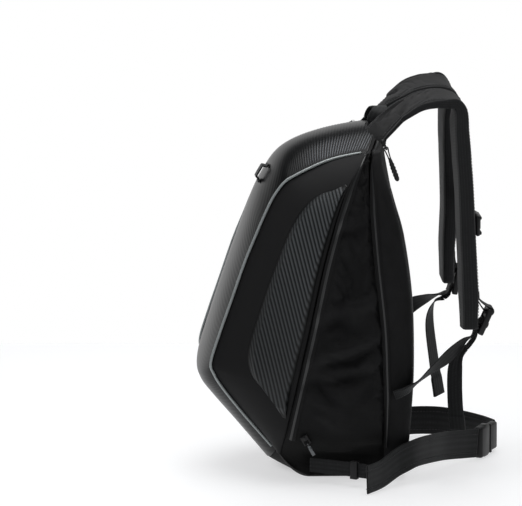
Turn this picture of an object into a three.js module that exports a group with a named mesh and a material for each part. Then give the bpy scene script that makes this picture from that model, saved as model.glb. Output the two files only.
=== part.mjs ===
// Motorcycle backpack: a moulded front shell on a fabric body, its expansion gusset opened at the base.
// It stands on its base. Millimetres, +Z up, the shell faces -Y, the wearer's side is +Y, and +X is the
// wearer's right. The origin is on the floor, in the middle of the gusset's flat bottom.

import * as THREE from 'three';

// Walls and gaps
const SHELL_WALL = 3;
const GUSSET_WALL = 1.6;
const BODY_WALL = 3;
const GAP = 0.5;

// Shell form
const LAST_STATION = 16;
const CREASE = 0.5;
const CROWN_POWER = 2.3;
const SIDE_BULGE = 4;
const SHELL_ROWS = 22;
const SHELL_COLUMNS = 16;

// Soft pieces
const WEBBING_WIDE = 25;
const WEBBING_THICK = 1.8;
const BELT_TALL = 40;
const BELT_THICK = 3;
const CHEST_WEBBING_WIDE = 20;
const HANDLE_WIDE = 18;
const HANDLE_THICK = 2.4;
const LIGHT_LOOP_WIDE = 14;
const ANCHOR_WIDE = 20;
const ZIP_BAND_THICK = 1.4;
const BACK_PAD_THICK = 7;
const PIPING_RADIUS = 1.5;
const INSERT_THICK = 2.2;

// Hard pieces: outer sizes and corner radius, and where they sit
const CHEST = { y: 179.5, z: 354, sliderX: 95, from: 19, to: 74, droop: 1 };
const CHEST_BUCKLE = { wide: 36, tall: 26, thick: 9, corner: 5 };
const CHEST_SLIDER = { wide: 40, tall: 29, thick: 9, corner: 4 };
const BELT_BUCKLE = { tall: 44, thick: 13, corner: 6, clear: 5 };
const LADDER = { wide: 34, tall: 38, thick: 8, corner: 5 };
const LADDER_SLOTS = [11, 1, -9].map((y) => ({ wide: 26, tall: 4, y }));
const LADDER_PLACES = {
  right: { x: 109, y: 188, z: 221, tilt: 66 },
  left: { x: -109, y: 176, z: 232, tilt: 80 },
};
const TRIGLIDE = { wide: 26, tall: 8, thick: 11, corner: 2, stop: 0.6, room: 2 };

const BLACK_CLOTH = { color: '#1f1f20', roughness: 0.9, metalness: 0 };
const CARBON_SKIN = { color: '#2b2d2e', roughness: 0.35, metalness: 0 };
const GREY_SKIN = { color: '#3c3e40', roughness: 0.4, metalness: 0 };
const REFLECTIVE = { color: '#a3a8a8', roughness: 0.5, metalness: 0 };
const WEBBING = { color: '#2e2f30', roughness: 0.85, metalness: 0 };
const BLACK_PLASTIC = { color: '#1a1a1b', roughness: 0.45, metalness: 0 };
const CHROME = { color: '#c9cbcc', roughness: 0.2, metalness: 1 };

// Turns rows of numbers into objects with the named columns.
function table(columns, rows) {
  return rows.map((row) => Object.fromEntries(columns.map((name, i) => [name, row[i]])));
}

// Shell stations from the top rear edge, over the nose, to the lower tip. Each has a point on the centre
// line (cy, cz), one on the crease between front and side facet (px, py, pz), and its height on the rim.
const SHELL_STATIONS = table(['at', 'cy', 'cz', 'px', 'py', 'pz', 'rz'], [
  [0, 44, 481, 82, 27, 454, 455],
  [1, 12, 477, 82, 2, 450, 441],
  [2, -19, 471, 82, -22, 444, 424],
  [3, -50, 462, 82, -45, 435, 400],
  [4, -73, 451, 82, -68, 424, 375],
  [5, -89, 437, 81, -84, 414, 346],
  [6, -103, 416, 80, -99, 394, 316],
  [7, -116, 392, 79, -112, 367, 286],
  [8, -128, 361, 78, -122, 343, 255],
  [9, -147, 306, 78, -138, 304, 220],
  [10, -166, 251, 77, -157, 249, 190],
  [11, -185, 190, 76, -174, 200, 165],
  [12, -197, 146, 75, -185, 163, 142],
  [13, -194, 126, 74, -181, 147, 123],
  [14, -179, 105, 72, -169, 127, 106],
  [15, -146, 66, 70, -139, 88, 78],
  [16, -103, 14, 68, -96, 37, 36],
]);

// Half width and depth of the shell's rim and of the seam at the rear body, by height.
const SIDE_HEIGHTS = table(['z', 'rimX', 'rimY', 'seamX', 'seamY'], [
  [0, 92, -96, 108, 50],
  [36, 100, -94, 124, 49],
  [78, 128, -88, 134, 48],
  [140, 143, -76, 142, 45],
  [220, 150, -59, 146, 41],
  [316, 150, -38, 145, 31],
  [400, 142, -12, 139, 25],
  [441, 128, 11, 128, 25],
  [462, 106, 27, 112, 30],
]);

// Rear body stations: the back's centre line (ky, kz) and its rounded corner (by, bz).
const REAR_STATIONS = table(['at', 'ky', 'kz', 'by', 'bz'], [
  [0.5, 58, 478, 45, 459],
  [1.5, 57, 460, 47, 440],
  [3, 62, 420, 57, 404],
  [5, 73, 350, 71, 348],
  [8, 85, 256, 85, 256],
  [11, 88, 163, 88, 163],
  [13, 87, 108, 87, 110],
  [14.5, 85, 50, 84, 60],
  [15.2, 83, 0, 81, 12],
]);

// Outline of the side insert as shares of the side facet, from the crease (0) to the rim (1).
const INSERT_OUTLINE = table(['at', 'front', 'back'], [
  [2.3, 0.88, 0.95],
  [2.8, 0.74, 0.95],
  [3.6, 0.54, 0.95],
  [4.9, 0.44, 0.95],
  [7.3, 0.38, 0.95],
  [10.1, 0.36, 0.95],
  [11.1, 0.38, 0.95],
  [11.6, 0.43, 0.95],
  [12.9, 0.62, 0.95],
  [14.5, 0.9, 0.96],
]);

// Shoulder straps, from the root on the pack's top to the end of the pad. They are broad over the shoulders.
// Both are given on the wearer's right, and the left one is mirrored.
const STRAP_COLUMNS = ['x', 'y', 'z', 'roll', 'wide', 'thick'];
const STRAP_TOP = [
  [55.5, 55, 484.5, -12, 62, 6],
  [52, 71, 498, -6, 76, 7],
  [52, 88, 508.5, -2, 91, 9],
  [52.5, 107, 518, 0, 91, 11],
  [52.5, 128, 521.5, 0, 91, 13],
  [56, 147.5, 518, 0, 88, 15],
  [60, 156.5, 507, 0, 82, 18],
  [68, 158, 478, 0, 74, 20],
  [76, 160, 440, 0, 68, 21.5],
  [84, 162, 400, 0, 65, 21.5],
];
const STRAP_ROUTES = {
  right: table(STRAP_COLUMNS, [
    ...STRAP_TOP,
    [95, 164, 330, 0, 62, 22],
    [103, 166.5, 262, 0, 60, 23],
    [108, 167, 211, 0, 50, 21],
  ]),
  left: table(STRAP_COLUMNS, [
    ...STRAP_TOP,
    [94, 164, 340, 0, 62, 21],
    [102, 162, 285, 0, 60, 18],
    [107, 163, 235, 0, 50, 16],
  ]),
};

// Webbing from the side seams to the ladder buckles, and its free ends, as they hang.
const LOWER_ROUTES = {
  right: table(['x', 'y', 'z', 'roll'], [
    [144.4, 60, 126, 90],
    [145.5, 76, 132.5, 50],
    [141, 91, 142, 20],
    [134, 112, 158, 32],
    [124, 136, 174, 52],
    [114, 158, 191, 36],
    [109, 171.5, 199.5, 8],
  ]),
  left: table(['x', 'y', 'z', 'roll'], [
    [-143.6, 62, 140, 90],
    [-142, 84, 156, 90],
    [-137, 112, 187, 75],
    [-124, 138, 204, 40],
    [-114, 155, 211.5, 10],
    [-109, 163, 214.5, 0],
  ]),
};
const TAIL_ROUTES = {
  right: table(['x', 'y', 'z', 'roll'], [
    [107, 164.5, 183, 0],
    [105, 154, 171, 18],
    [104, 148.5, 150, 44],
    [103, 149, 105, 48],
    [103, 153, 66, 50],
  ]),
  left: table(['x', 'y', 'z', 'roll'], [
    [-107, 158, 206, 0],
    [-106, 145, 200, -14],
    [-105, 139, 174, -32],
    [-105, 145, 120, -36],
    [-105, 153, 68, -40],
  ]),
};

// Hip belt halves as they lie on the floor, by the middle of the belt's height.
const BELT_ROUTES = {
  right: table(['x', 'y', 'z', 'roll'], [
    [200, 16, 21, 0],
    [172, 40, 23, 0],
    [149, 64, 33, 0],
    [132, 90, 41, 0],
    [100, 114, 39, 0],
    [58, 142, 33, 0],
    [26, 172, 27, 0],
    [9, 192, 24, 0],
  ]),
  left: table(['x', 'y', 'z', 'roll'], [
    [-132, 62, 23, 0],
    [-139, 88, 22, 0],
    [-146, 112, 22, 0],
    [-148, 138, 22, 0],
    [-140, 162, 22, 0],
    [-115, 188, 22, 0],
    [-84, 210, 22, 0],
    [-62, 221, 22, 0],
    [-48, 224, 23, 0],
  ]),
};

// Narrow webbing from the pack's lower front corners to the belt.
const ANCHOR_ROUTES = {
  right: table(['x', 'y', 'z', 'roll'], [
    [122, -54, 26, 0],
    [131, -34, 25.5, 0],
    [142, -14, 25, 0],
    [153, 4, 24.5, 0],
    [164, 22, 24, 0],
    [171.5, 34, 23.5, 0],
  ]),
  left: table(['x', 'y', 'z', 'roll'], [
    [-122, -54, 26, 0],
    [-130, -30, 25, 0],
    [-134, -5, 25, 0],
    [-134, 20, 26, 0],
    [-133, 40, 27, 0],
    [-132.2, 59.5, 25, 0],
  ]),
};

// Reads a column of a table at a key by a smooth curve through its rows.
function lookUp(rows, key, at, column) {
  const last = rows.length - 1;
  let i = 0;
  while (i < last - 1 && at > rows[i + 1][key]) {
    i += 1;
  }
  const slope = (k) => {
    const before = rows[Math.max(k - 1, 0)];
    const after = rows[Math.min(k + 1, last)];
    return (after[column] - before[column]) / (after[key] - before[key]);
  };
  const span = rows[i + 1][key] - rows[i][key];
  const t = THREE.MathUtils.clamp((at - rows[i][key]) / span, 0, 1);
  const rise = t * t * (3 - 2 * t);
  const leave = t * (1 - t) * (1 - t) * span * slope(i);
  const arrive = t * t * (t - 1) * span * slope(i + 1);
  return rows[i][column] * (1 - rise) + rows[i + 1][column] * rise + leave + arrive;
}

// Turns the triangles round where the closed mesh has its inside out.
function facingOut(geometry) {
  const points = geometry.attributes.position;
  const index = geometry.index.array;
  const corner = (i) => new THREE.Vector3().fromBufferAttribute(points, index[i]);
  let volume = 0;
  for (let i = 0; i < index.length; i += 3) {
    volume += corner(i).dot(corner(i + 1).cross(corner(i + 2)));
  }
  if (volume < 0) {
    for (let i = 0; i < index.length; i += 3) {
      const held = index[i];
      index[i] = index[i + 1];
      index[i + 1] = held;
    }
  }
  geometry.computeVertexNormals();
  return geometry;
}

// A box whose points are moved to place(u, v, w), with u, v and w from 0 to 1.
function shapedBox(along, across, deep, place) {
  const geometry = new THREE.BoxGeometry(1, 1, 1, along, across, deep);
  const points = geometry.attributes.position;
  for (let i = 0; i < points.count; i += 1) {
    const moved = place(points.getX(i) + 0.5, points.getY(i) + 0.5, points.getZ(i) + 0.5);
    points.setXYZ(i, moved.x, moved.y, moved.z);
  }
  return facingOut(geometry);
}

// A sheet over surface(u, v), with u and v from 0 to 1: it lies between the two distances off the surface
// that inner and outer give, measured along the surface's own normals, away from the middle of the pack.
const PACK_MIDDLE = new THREE.Vector3(0, -20, 230);
function sheet(along, across, surface, inner, outer) {
  const grid = [];
  for (let i = 0; i <= along; i += 1) {
    grid.push([]);
    for (let j = 0; j <= across; j += 1) {
      grid[i].push(surface(i / along, j / across));
    }
  }
  const normalAt = (i, j) => {
    const before = grid[Math.max(i - 1, 0)][j];
    const after = grid[Math.min(i + 1, along)][j];
    const normal = new THREE.Vector3();
    for (const turn of [-1, 1]) {
      const beside = grid[Math.min(Math.max(i + turn, 0), along)];
      const left = beside[Math.max(j - 1, 0)].clone().add(grid[i][Math.max(j - 1, 0)]);
      const right = beside[Math.min(j + 1, across)].clone().add(grid[i][Math.min(j + 1, across)]);
      normal.add(after.clone().sub(before).cross(right.sub(left)));
    }
    normal.normalize();
    return normal.dot(grid[i][j].clone().sub(PACK_MIDDLE)) < 0 ? normal.negate() : normal;
  };
  return shapedBox(along, across, 1, (u, v, w) => {
    const i = Math.round(u * along);
    const j = Math.round(v * across);
    const distance = w < 0.5 ? inner : outer;
    return grid[i][j].clone().addScaledVector(normalAt(i, j), distance(u, v));
  });
}

// A closed ring whose points are moved to place(around, t, outer): t runs over the ring's width.
function shapedRing(around, steps, place) {
  const loop = 2 * (steps + 1);
  const geometry = new THREE.TorusGeometry(2, 1, loop, around);
  const points = geometry.attributes.position;
  const uv = geometry.attributes.uv;
  for (let i = 0; i < points.count; i += 1) {
    const k = Math.round(uv.getX(i) * around) % around;
    const j = Math.round(uv.getY(i) * loop) % loop;
    const outer = j <= steps;
    const t = outer ? j / steps : (loop - 1 - j) / steps;
    const moved = place(k, t, outer);
    points.setXYZ(i, moved.x, moved.y, moved.z);
  }
  return facingOut(geometry);
}

// A point of a surface moved off it, away from the middle of the pack.
const STEP = 0.01;
function offSurface(surface, u, v, distance) {
  const here = surface(u, v);
  const alongU = surface(u + STEP, v).sub(surface(u - STEP, v));
  const alongV = surface(u, v + STEP).sub(surface(u, v - STEP));
  const normal = alongU.cross(alongV).normalize();
  if (normal.dot(here.clone().sub(PACK_MIDDLE)) < 0) {
    normal.negate();
  }
  return here.addScaledVector(normal, distance);
}

const smooth = THREE.MathUtils.smoothstep;
const lerp = THREE.MathUtils.lerp;

// The shell

function creasePoint(at, side) {
  return new THREE.Vector3(
    side * lookUp(SHELL_STATIONS, 'at', at, 'px'),
    lookUp(SHELL_STATIONS, 'at', at, 'py'),
    lookUp(SHELL_STATIONS, 'at', at, 'pz'),
  );
}

function rimPoint(at, side) {
  const z = lookUp(SHELL_STATIONS, 'at', at, 'rz');
  const x = lookUp(SIDE_HEIGHTS, 'z', z, 'rimX');
  return new THREE.Vector3(side * x, lookUp(SIDE_HEIGHTS, 'z', z, 'rimY'), z);
}

// A point of the shell's outside: across is -1 on the left rim, 0 on the centre line, 1 on the right rim.
function shellPoint(at, across) {
  const side = across < 0 ? -1 : 1;
  const far = Math.min(Math.abs(across), 1);
  const crease = creasePoint(at, side);
  if (far <= CREASE) {
    const share = far / CREASE;
    const drop = share ** CROWN_POWER;
    return new THREE.Vector3(
      crease.x * share,
      lerp(lookUp(SHELL_STATIONS, 'at', at, 'cy'), crease.y, drop),
      lerp(lookUp(SHELL_STATIONS, 'at', at, 'cz'), crease.z, drop),
    );
  }
  const share = (far - CREASE) / (1 - CREASE);
  const bulge = SIDE_BULGE * 4 * share * (1 - share);
  const point = crease.lerp(rimPoint(at, side), share);
  point.x += side * bulge;
  point.y -= bulge / 2;
  return point;
}

function shellGeometry() {
  const surface = (u, v) => shellPoint(u * LAST_STATION, 2 * v - 1);
  return sheet(SHELL_ROWS, SHELL_COLUMNS, surface, () => -SHELL_WALL, () => 0);
}

const INSERT_ROWS = 16;
const INSERT_COLUMNS = 3;
function insertGeometry(side) {
  const first = INSERT_OUTLINE[0].at;
  const last = INSERT_OUTLINE[INSERT_OUTLINE.length - 1].at;
  const surface = (u, v) => {
    const at = lerp(first, last, u);
    const front = lookUp(INSERT_OUTLINE, 'at', at, 'front');
    const back = lookUp(INSERT_OUTLINE, 'at', at, 'back');
    return shellPoint(at, side * lerp(CREASE, 1, lerp(front, back, v)));
  };
  return sheet(INSERT_ROWS, INSERT_COLUMNS, surface, () => GAP, () => GAP + INSERT_THICK);
}

// Piping from a little below the top rear corner to the lower tip.
const PIPING_STEPS = 36;
const PIPING_FROM = 0.25;
const PIPING_TO = LAST_STATION - 0.1;
function pipingGeometry(side) {
  const lift = PIPING_RADIUS + 2 * GAP;
  const places = [];
  for (let i = 0; i <= PIPING_STEPS; i += 1) {
    const at = lerp(PIPING_FROM, PIPING_TO, i / PIPING_STEPS);
    places.push(offSurface(shellPoint, at, side * CREASE, lift));
  }
  const section = new THREE.Shape().absarc(0, 0, PIPING_RADIUS, 0, 2 * Math.PI);
  return new THREE.ExtrudeGeometry(section, {
    steps: PIPING_STEPS,
    curveSegments: 3,
    extrudePath: new THREE.CatmullRomCurve3(places),
  });
}

// The gusset

// The seam at the rear body that lies opposite a station of the shell's rim.
const LEVEL_SEAM = 90;
const SEAM_FOOT = 9;
const TOP_RISE = 6;
const TOP_RISE_FROM = 40;
function seamPoint(at, side) {
  const rim = lookUp(SHELL_STATIONS, 'at', at, 'rz');
  const foot = SHELL_STATIONS[LAST_STATION].rz;
  const crown = SHELL_STATIONS[0].rz;
  let z = rim;
  if (rim < LEVEL_SEAM) {
    z = lerp(SEAM_FOOT, LEVEL_SEAM, (rim - foot) / (LEVEL_SEAM - foot));
  }
  z += TOP_RISE * smooth(rim, crown - TOP_RISE_FROM, crown);
  return new THREE.Vector3(
    side * lookUp(SIDE_HEIGHTS, 'z', z, 'seamX'),
    lookUp(SIDE_HEIGHTS, 'z', z, 'seamY'),
    z,
  );
}

// The seam over the top (at 0) and along the base (at the last station), from side to side.
const FLAT_SHARE = 0.55;
const TOP_ZIP_WIDE = 7;
const TOP_ZIP_RISE = 3;
function flatThenUp(share) {
  const past = Math.max(0, (share - FLAT_SHARE) / (1 - FLAT_SHARE));
  return past * past;
}
function seamRib(at, across) {
  const far = Math.abs(across);
  const side = across < 0 ? -1 : 1;
  const corner = seamPoint(at, side);
  const rim = shellPoint(at, across);
  const rimCorner = rimPoint(at, side);
  rim.x *= corner.x / rimCorner.x;
  if (at > 0) {
    return new THREE.Vector3(rim.x, corner.y, corner.z * flatThenUp(far));
  }
  rim.y += lerp(TOP_ZIP_WIDE, corner.y - rimCorner.y, far * far);
  rim.z += lerp(TOP_ZIP_RISE, corner.z - rimCorner.z, far * far);
  return rim;
}

// Steps around the opening: right side downwards, base, left side upwards, top.
const LOOP_STEPS = 2 * (SHELL_ROWS + SHELL_COLUMNS);
function loopPlace(step) {
  const k = ((step % LOOP_STEPS) + LOOP_STEPS) % LOOP_STEPS;
  if (k < SHELL_ROWS) {
    return [LAST_STATION * k / SHELL_ROWS, 1];
  }
  if (k < SHELL_ROWS + SHELL_COLUMNS) {
    return [LAST_STATION, 1 - 2 * (k - SHELL_ROWS) / SHELL_COLUMNS];
  }
  if (k < 2 * SHELL_ROWS + SHELL_COLUMNS) {
    return [LAST_STATION * (1 - (k - SHELL_ROWS - SHELL_COLUMNS) / SHELL_ROWS), -1];
  }
  return [0, -1 + 2 * (k - 2 * SHELL_ROWS - SHELL_COLUMNS) / SHELL_COLUMNS];
}

// A point of the gusset's outside, from the rim (t 0) to the seam (t 1). The sides sag inwards in two
// soft folds, and the bottom comes down to the floor soon behind the shell.
const GUSSET_STEPS = 4;
const SAG = 9;
const SAG_HEIGHTS = { none: 50, full: 170, easing: 300, gone: 430 };
const FOLD = 4;
const FOLD_SPACING = 190;
const FOLD_SLANT = 1.5;
const FLOOR_SHARE = 0.3;
const FLOOR_HEIGHTS = { down: 60, level: 130 };
const RIM_GAP = 2.4;
const SEAM_GAP = 1;
function gussetPoint(step, t) {
  const [at, across] = loopPlace(step);
  const onSide = Math.abs(across) === 1;
  const rim = shellPoint(at, across);
  const seam = onSide ? seamPoint(at, across) : seamRib(at, across);
  const point = rim.clone().lerp(seam, t);
  const low = at === LAST_STATION ? 1 : 1 - smooth(rim.z, FLOOR_HEIGHTS.down, FLOOR_HEIGHTS.level);
  const fall = Math.max(0, 1 - t / FLOOR_SHARE) ** 2;
  point.z = lerp(point.z, lerp(seam.z, rim.z, fall), low);
  if (onSide) {
    const below = smooth(point.z, SAG_HEIGHTS.none, SAG_HEIGHTS.full);
    const above = 1 - smooth(point.z, SAG_HEIGHTS.easing, SAG_HEIGHTS.gone);
    const swell = Math.sin(Math.PI * t) ** 2;
    const fold = FOLD * Math.sin(2 * Math.PI * (FOLD_SLANT * t - point.z / FOLD_SPACING));
    point.x -= across * below * above * swell * (SAG + fold);
  }
  return point;
}

function gussetGeometry() {
  return shapedRing(LOOP_STEPS, GUSSET_STEPS, (step, t, outer) => {
    const place = (k, s) => gussetPoint(Math.round(k), THREE.MathUtils.clamp(s, 0, 1));
    const here = place(step, t);
    const alongLoop = place(step + 1, t).sub(place(step - 1, t));
    const alongWidth = place(step, t + STEP).sub(place(step, t - STEP));
    const normal = alongLoop.cross(alongWidth).normalize();
    if (normal.dot(here.clone().sub(PACK_MIDDLE)) < 0) {
      normal.negate();
    }
    const inward = outer ? 0 : GUSSET_WALL;
    here.addScaledVector(normal, -inward);
    here.addScaledVector(alongWidth.normalize(), RIM_GAP * (1 - t) - SEAM_GAP * t);
    return here;
  });
}

// The rear body

// Across the rear body the back takes the first half, the rounded corner ends at three quarters, and the
// side wall is the rest.
const BACK_END = 0.5;
const WALL_END = 0.75;
const CORNER_ROUND = 13;
const CORNER_INSET = 6;
const TOP_ROW = 0.6;
const BASE_TURN = { from: LAST_STATION - 1.8, to: LAST_STATION - 0.8 };

// The rear body starts a little behind the seam, further at the top where its wall turns back steeply.
const LEAST_REAR_GAP = 0.8;
const TOP_REAR_GAP = 3.4;
const TOP_END = { from: 1, to: 4 };
function rearGap(at) {
  return lerp(TOP_REAR_GAP, LEAST_REAR_GAP, smooth(at, TOP_END.from, TOP_END.to));
}

function rearPoint(at, across) {
  const side = across < 0 ? -1 : 1;
  const far = Math.min(Math.abs(across), 1);
  if (at <= 0 || at >= LAST_STATION) {
    const rib = seamRib(at <= 0 ? 0 : LAST_STATION, side * far);
    rib.y += rearGap(at);
    return rib;
  }
  const seam = seamPoint(at, side);
  seam.y += rearGap(at);
  const cornerX = Math.abs(seam.x) - CORNER_INSET;
  const cornerY = lookUp(REAR_STATIONS, 'at', at, 'by');
  const cornerZ = lookUp(REAR_STATIONS, 'at', at, 'bz');
  const wallEnd = new THREE.Vector3(side * cornerX, cornerY - CORNER_ROUND, cornerZ);
  if (far > WALL_END) {
    return wallEnd.lerp(seam, (far - WALL_END) / (1 - WALL_END));
  }
  if (far > BACK_END) {
    const turn = (far - BACK_END) / (WALL_END - BACK_END) * Math.PI / 2;
    return new THREE.Vector3(
      side * (cornerX - CORNER_ROUND * (1 - Math.sin(turn))),
      cornerY - CORNER_ROUND * (1 - Math.cos(turn)),
      cornerZ,
    );
  }
  const share = far / BACK_END;
  const middleY = lookUp(REAR_STATIONS, 'at', at, 'ky');
  const middleZ = lookUp(REAR_STATIONS, 'at', at, 'kz');
  const nearBase = smooth(at, BASE_TURN.from, BASE_TURN.to);
  const rise = lerp(share * share, flatThenUp(share), nearBase);
  return new THREE.Vector3(
    side * (cornerX - CORNER_ROUND) * share,
    lerp(middleY, cornerY, share * share),
    lerp(middleZ, cornerZ, rise),
  );
}

function rearBodyGeometry() {
  const surface = (u, v) => rearPoint(u * LAST_STATION, 2 * v - 1);
  return sheet(SHELL_ROWS, SHELL_COLUMNS, surface, () => -BODY_WALL, () => 0);
}

// A pad on the back, thin at its edges.
const BACK_PAD = { top: 3.6, bottom: 14.1, half: 0.4, edge: 0.3, rows: 10, columns: 6 };
function backPanelGeometry() {
  const rounded = (s) => Math.sqrt(Math.max(0, 1 - (2 * s - 1) ** 6));
  const surface = (u, v) => {
    const at = lerp(BACK_PAD.top, BACK_PAD.bottom, u);
    return rearPoint(at, lerp(-BACK_PAD.half, BACK_PAD.half, v));
  };
  const thick = (u, v) => BACK_PAD_THICK * lerp(BACK_PAD.edge, 1, rounded(u) * rounded(v));
  const outer = (u, v) => 2 * GAP + thick(u, v);
  return sheet(BACK_PAD.rows, BACK_PAD.columns, surface, () => 2 * GAP, outer);
}

// Strips of webbing, straps and bands

// A strip along a route: roll turns its width about the route, starting from the given direction.
function stripGeometry(route, { from, steps, wide = 0, thick = 0, across = 1, round = 0 }) {
  const curve = new THREE.CatmullRomCurve3(route.map((row) => new THREE.Vector3(row.x, row.y, row.z)));
  const rows = route.map((row, i) => ({ wide, thick, ...row, at: i }));
  return shapedBox(steps, across, 1, (u, v, w) => {
    const tangent = curve.getTangent(u);
    const at = u * (rows.length - 1);
    const width = from.clone().addScaledVector(tangent, -from.dot(tangent)).normalize();
    const normal = width.clone().cross(tangent);
    const roll = THREE.MathUtils.degToRad(lookUp(rows, 'at', at, 'roll'));
    const side = width.clone().multiplyScalar(Math.cos(roll)).addScaledVector(normal, Math.sin(roll));
    const up = side.clone().cross(tangent);
    const edge = Math.abs(2 * v - 1);
    const half = lookUp(rows, 'at', at, 'thick') / 2 * Math.sqrt(1 - round * edge ** 4);
    return curve.getPoint(u)
      .addScaledVector(side, (v - 0.5) * lookUp(rows, 'at', at, 'wide'))
      .addScaledVector(up, (2 * w - 1) * half);
  });
}

const SIDEWAYS = new THREE.Vector3(1, 0, 0);
const BACKWARDS = new THREE.Vector3(0, 1, 0);
const UPWARDS = new THREE.Vector3(0, 0, 1);

function mirrored(geometry) {
  return facingOut(geometry.clone().scale(-1, 1, 1));
}

// A band over the right side, the top and the left side, on a surface given by place(step, t).
const BAND_LIFT = 4 * GAP;
const BAND_INSET = 0.03;
function bandGeometry(place) {
  const lowest = SHELL_ROWS - 1;
  const total = 2 * lowest + SHELL_COLUMNS;
  const surface = (u, v) => place(lowest - Math.round(u * total), v);
  return sheet(total, 1, surface, () => BAND_LIFT, () => BAND_LIFT + ZIP_BAND_THICK);
}

const SHELL_ZIP_WIDE = 15;
const SHELL_ZIP_MOST = 0.42;
function shellZipPoint(step, t) {
  const width = gussetPoint(step, 0).distanceTo(gussetPoint(step, 1));
  const share = Math.min(SHELL_ZIP_WIDE / width, SHELL_ZIP_MOST);
  return gussetPoint(step, lerp(BAND_INSET, share, t));
}

const REAR_ZIP_WIDE = 9;
const REAR_ZIP_MOST = 0.6;
function rearZipPoint(step, t) {
  const [at, across] = loopPlace(step);
  const start = rearPoint(at, across);
  const next = at > 0 ? rearPoint(at, across * WALL_END) : rearPoint(TOP_ROW, across);
  const share = Math.min(REAR_ZIP_WIDE / start.distanceTo(next), REAR_ZIP_MOST);
  return start.lerp(next, lerp(BAND_INSET, share, t));
}

// A standing strip on the shell's centre line, fixed at both ends.
const LIGHT_LOOP = table(['at', 'stand'], [
  [5.7, 1.6],
  [5.84, 6.2],
  [6.19, 7.4],
  [6.54, 6.2],
  [6.68, 1.6],
]);
function lightLoopGeometry() {
  const rows = LIGHT_LOOP.map(({ at, stand }) => {
    const place = offSurface(shellPoint, at, 0, stand);
    return { x: 0, y: place.y, z: place.z, roll: 0 };
  });
  return stripGeometry(rows, { from: SIDEWAYS, steps: 12, wide: LIGHT_LOOP_WIDE, thick: WEBBING_THICK });
}

const HANDLE_ROUTE = table(['x', 'y', 'z', 'roll'], [
  [-16, 46.5, 490, 0],
  [-13, 51, 496.5, 0],
  [-5, 56, 500.5, 0],
  [5, 56, 500.5, 0],
  [13, 51, 496.5, 0],
  [16, 46.5, 490, 0],
]);

// Hard pieces

function roundedShape(wide, tall, radius, Kind = THREE.Shape) {
  const x = wide / 2 - radius;
  const y = tall / 2 - radius;
  const shape = new Kind();
  shape.absarc(x, y, radius, 0, Math.PI / 2);
  shape.absarc(-x, y, radius, Math.PI / 2, Math.PI);
  shape.absarc(-x, -y, radius, Math.PI, 1.5 * Math.PI);
  shape.absarc(x, -y, radius, 1.5 * Math.PI, 2 * Math.PI);
  return shape;
}

// A flat plate with rounded corners and slots, its middle on the local origin.
const SLOT_CORNER = 1;
function plateGeometry({ wide, tall, thick, corner }, slots = []) {
  const shape = roundedShape(wide, tall, corner);
  for (const slot of slots) {
    const hole = roundedShape(slot.wide, slot.tall, SLOT_CORNER, THREE.Path);
    const points = hole.getPoints(2).map((p) => new THREE.Vector2(p.x, p.y + slot.y));
    shape.holes.push(new THREE.Path(points));
  }
  const geometry = new THREE.ExtrudeGeometry(shape, { depth: thick, bevelEnabled: false, curveSegments: 2 });
  return geometry.translate(0, 0, -thick / 2);
}

const pack = new THREE.Group();

function named(name, geometry, look) {
  const mesh = new THREE.Mesh(geometry, new THREE.MeshStandardMaterial(look));
  mesh.name = name;
  return mesh;
}

function add(name, geometry, look) {
  const mesh = named(name, geometry, look);
  pack.add(mesh);
  return mesh;
}

add('front_shell', shellGeometry(), CARBON_SKIN);
add('expansion_gusset', gussetGeometry(), BLACK_CLOTH);
add('rear_body', rearBodyGeometry(), BLACK_CLOTH);
add('back_panel', backPanelGeometry(), BLACK_CLOTH);
add('shell_zip', bandGeometry(shellZipPoint), BLACK_CLOTH);
add('rear_zip', bandGeometry(rearZipPoint), BLACK_CLOTH);
add('light_loop', lightLoopGeometry(), WEBBING);
add('grab_handle', stripGeometry(HANDLE_ROUTE, {
  from: BACKWARDS, steps: 18, wide: HANDLE_WIDE, thick: HANDLE_THICK,
}), WEBBING);

const webbing = { from: SIDEWAYS, wide: WEBBING_WIDE, thick: WEBBING_THICK };
const STRAP_SHAPE = { from: SIDEWAYS, steps: 27, across: 4, round: 0.6 };

const chestBuckle = add('sternum_buckle', plateGeometry(CHEST_BUCKLE), BLACK_PLASTIC);
chestBuckle.position.set(0, CHEST.y, CHEST.z);
chestBuckle.rotation.x = Math.PI / 2;

// The hip buckle lies between the two ends of the belt, at the same height.
const beltEnds = ['right', 'left'].map((name) => {
  const end = BELT_ROUTES[name][BELT_ROUTES[name].length - 1];
  return new THREE.Vector3(end.x, end.y, end.z);
});
const beltAlong = beltEnds[1].clone().sub(beltEnds[0]);
const beltBuckleSize = { ...BELT_BUCKLE, wide: beltAlong.length() - BELT_BUCKLE.clear };
const beltBuckle = add('belt_buckle', plateGeometry(beltBuckleSize), BLACK_PLASTIC);
beltBuckle.position.copy(beltEnds[0]).lerp(beltEnds[1], 0.5);
beltBuckle.rotation.set(Math.PI / 2, 0, Math.atan2(beltAlong.y, beltAlong.x), 'ZYX');

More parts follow.
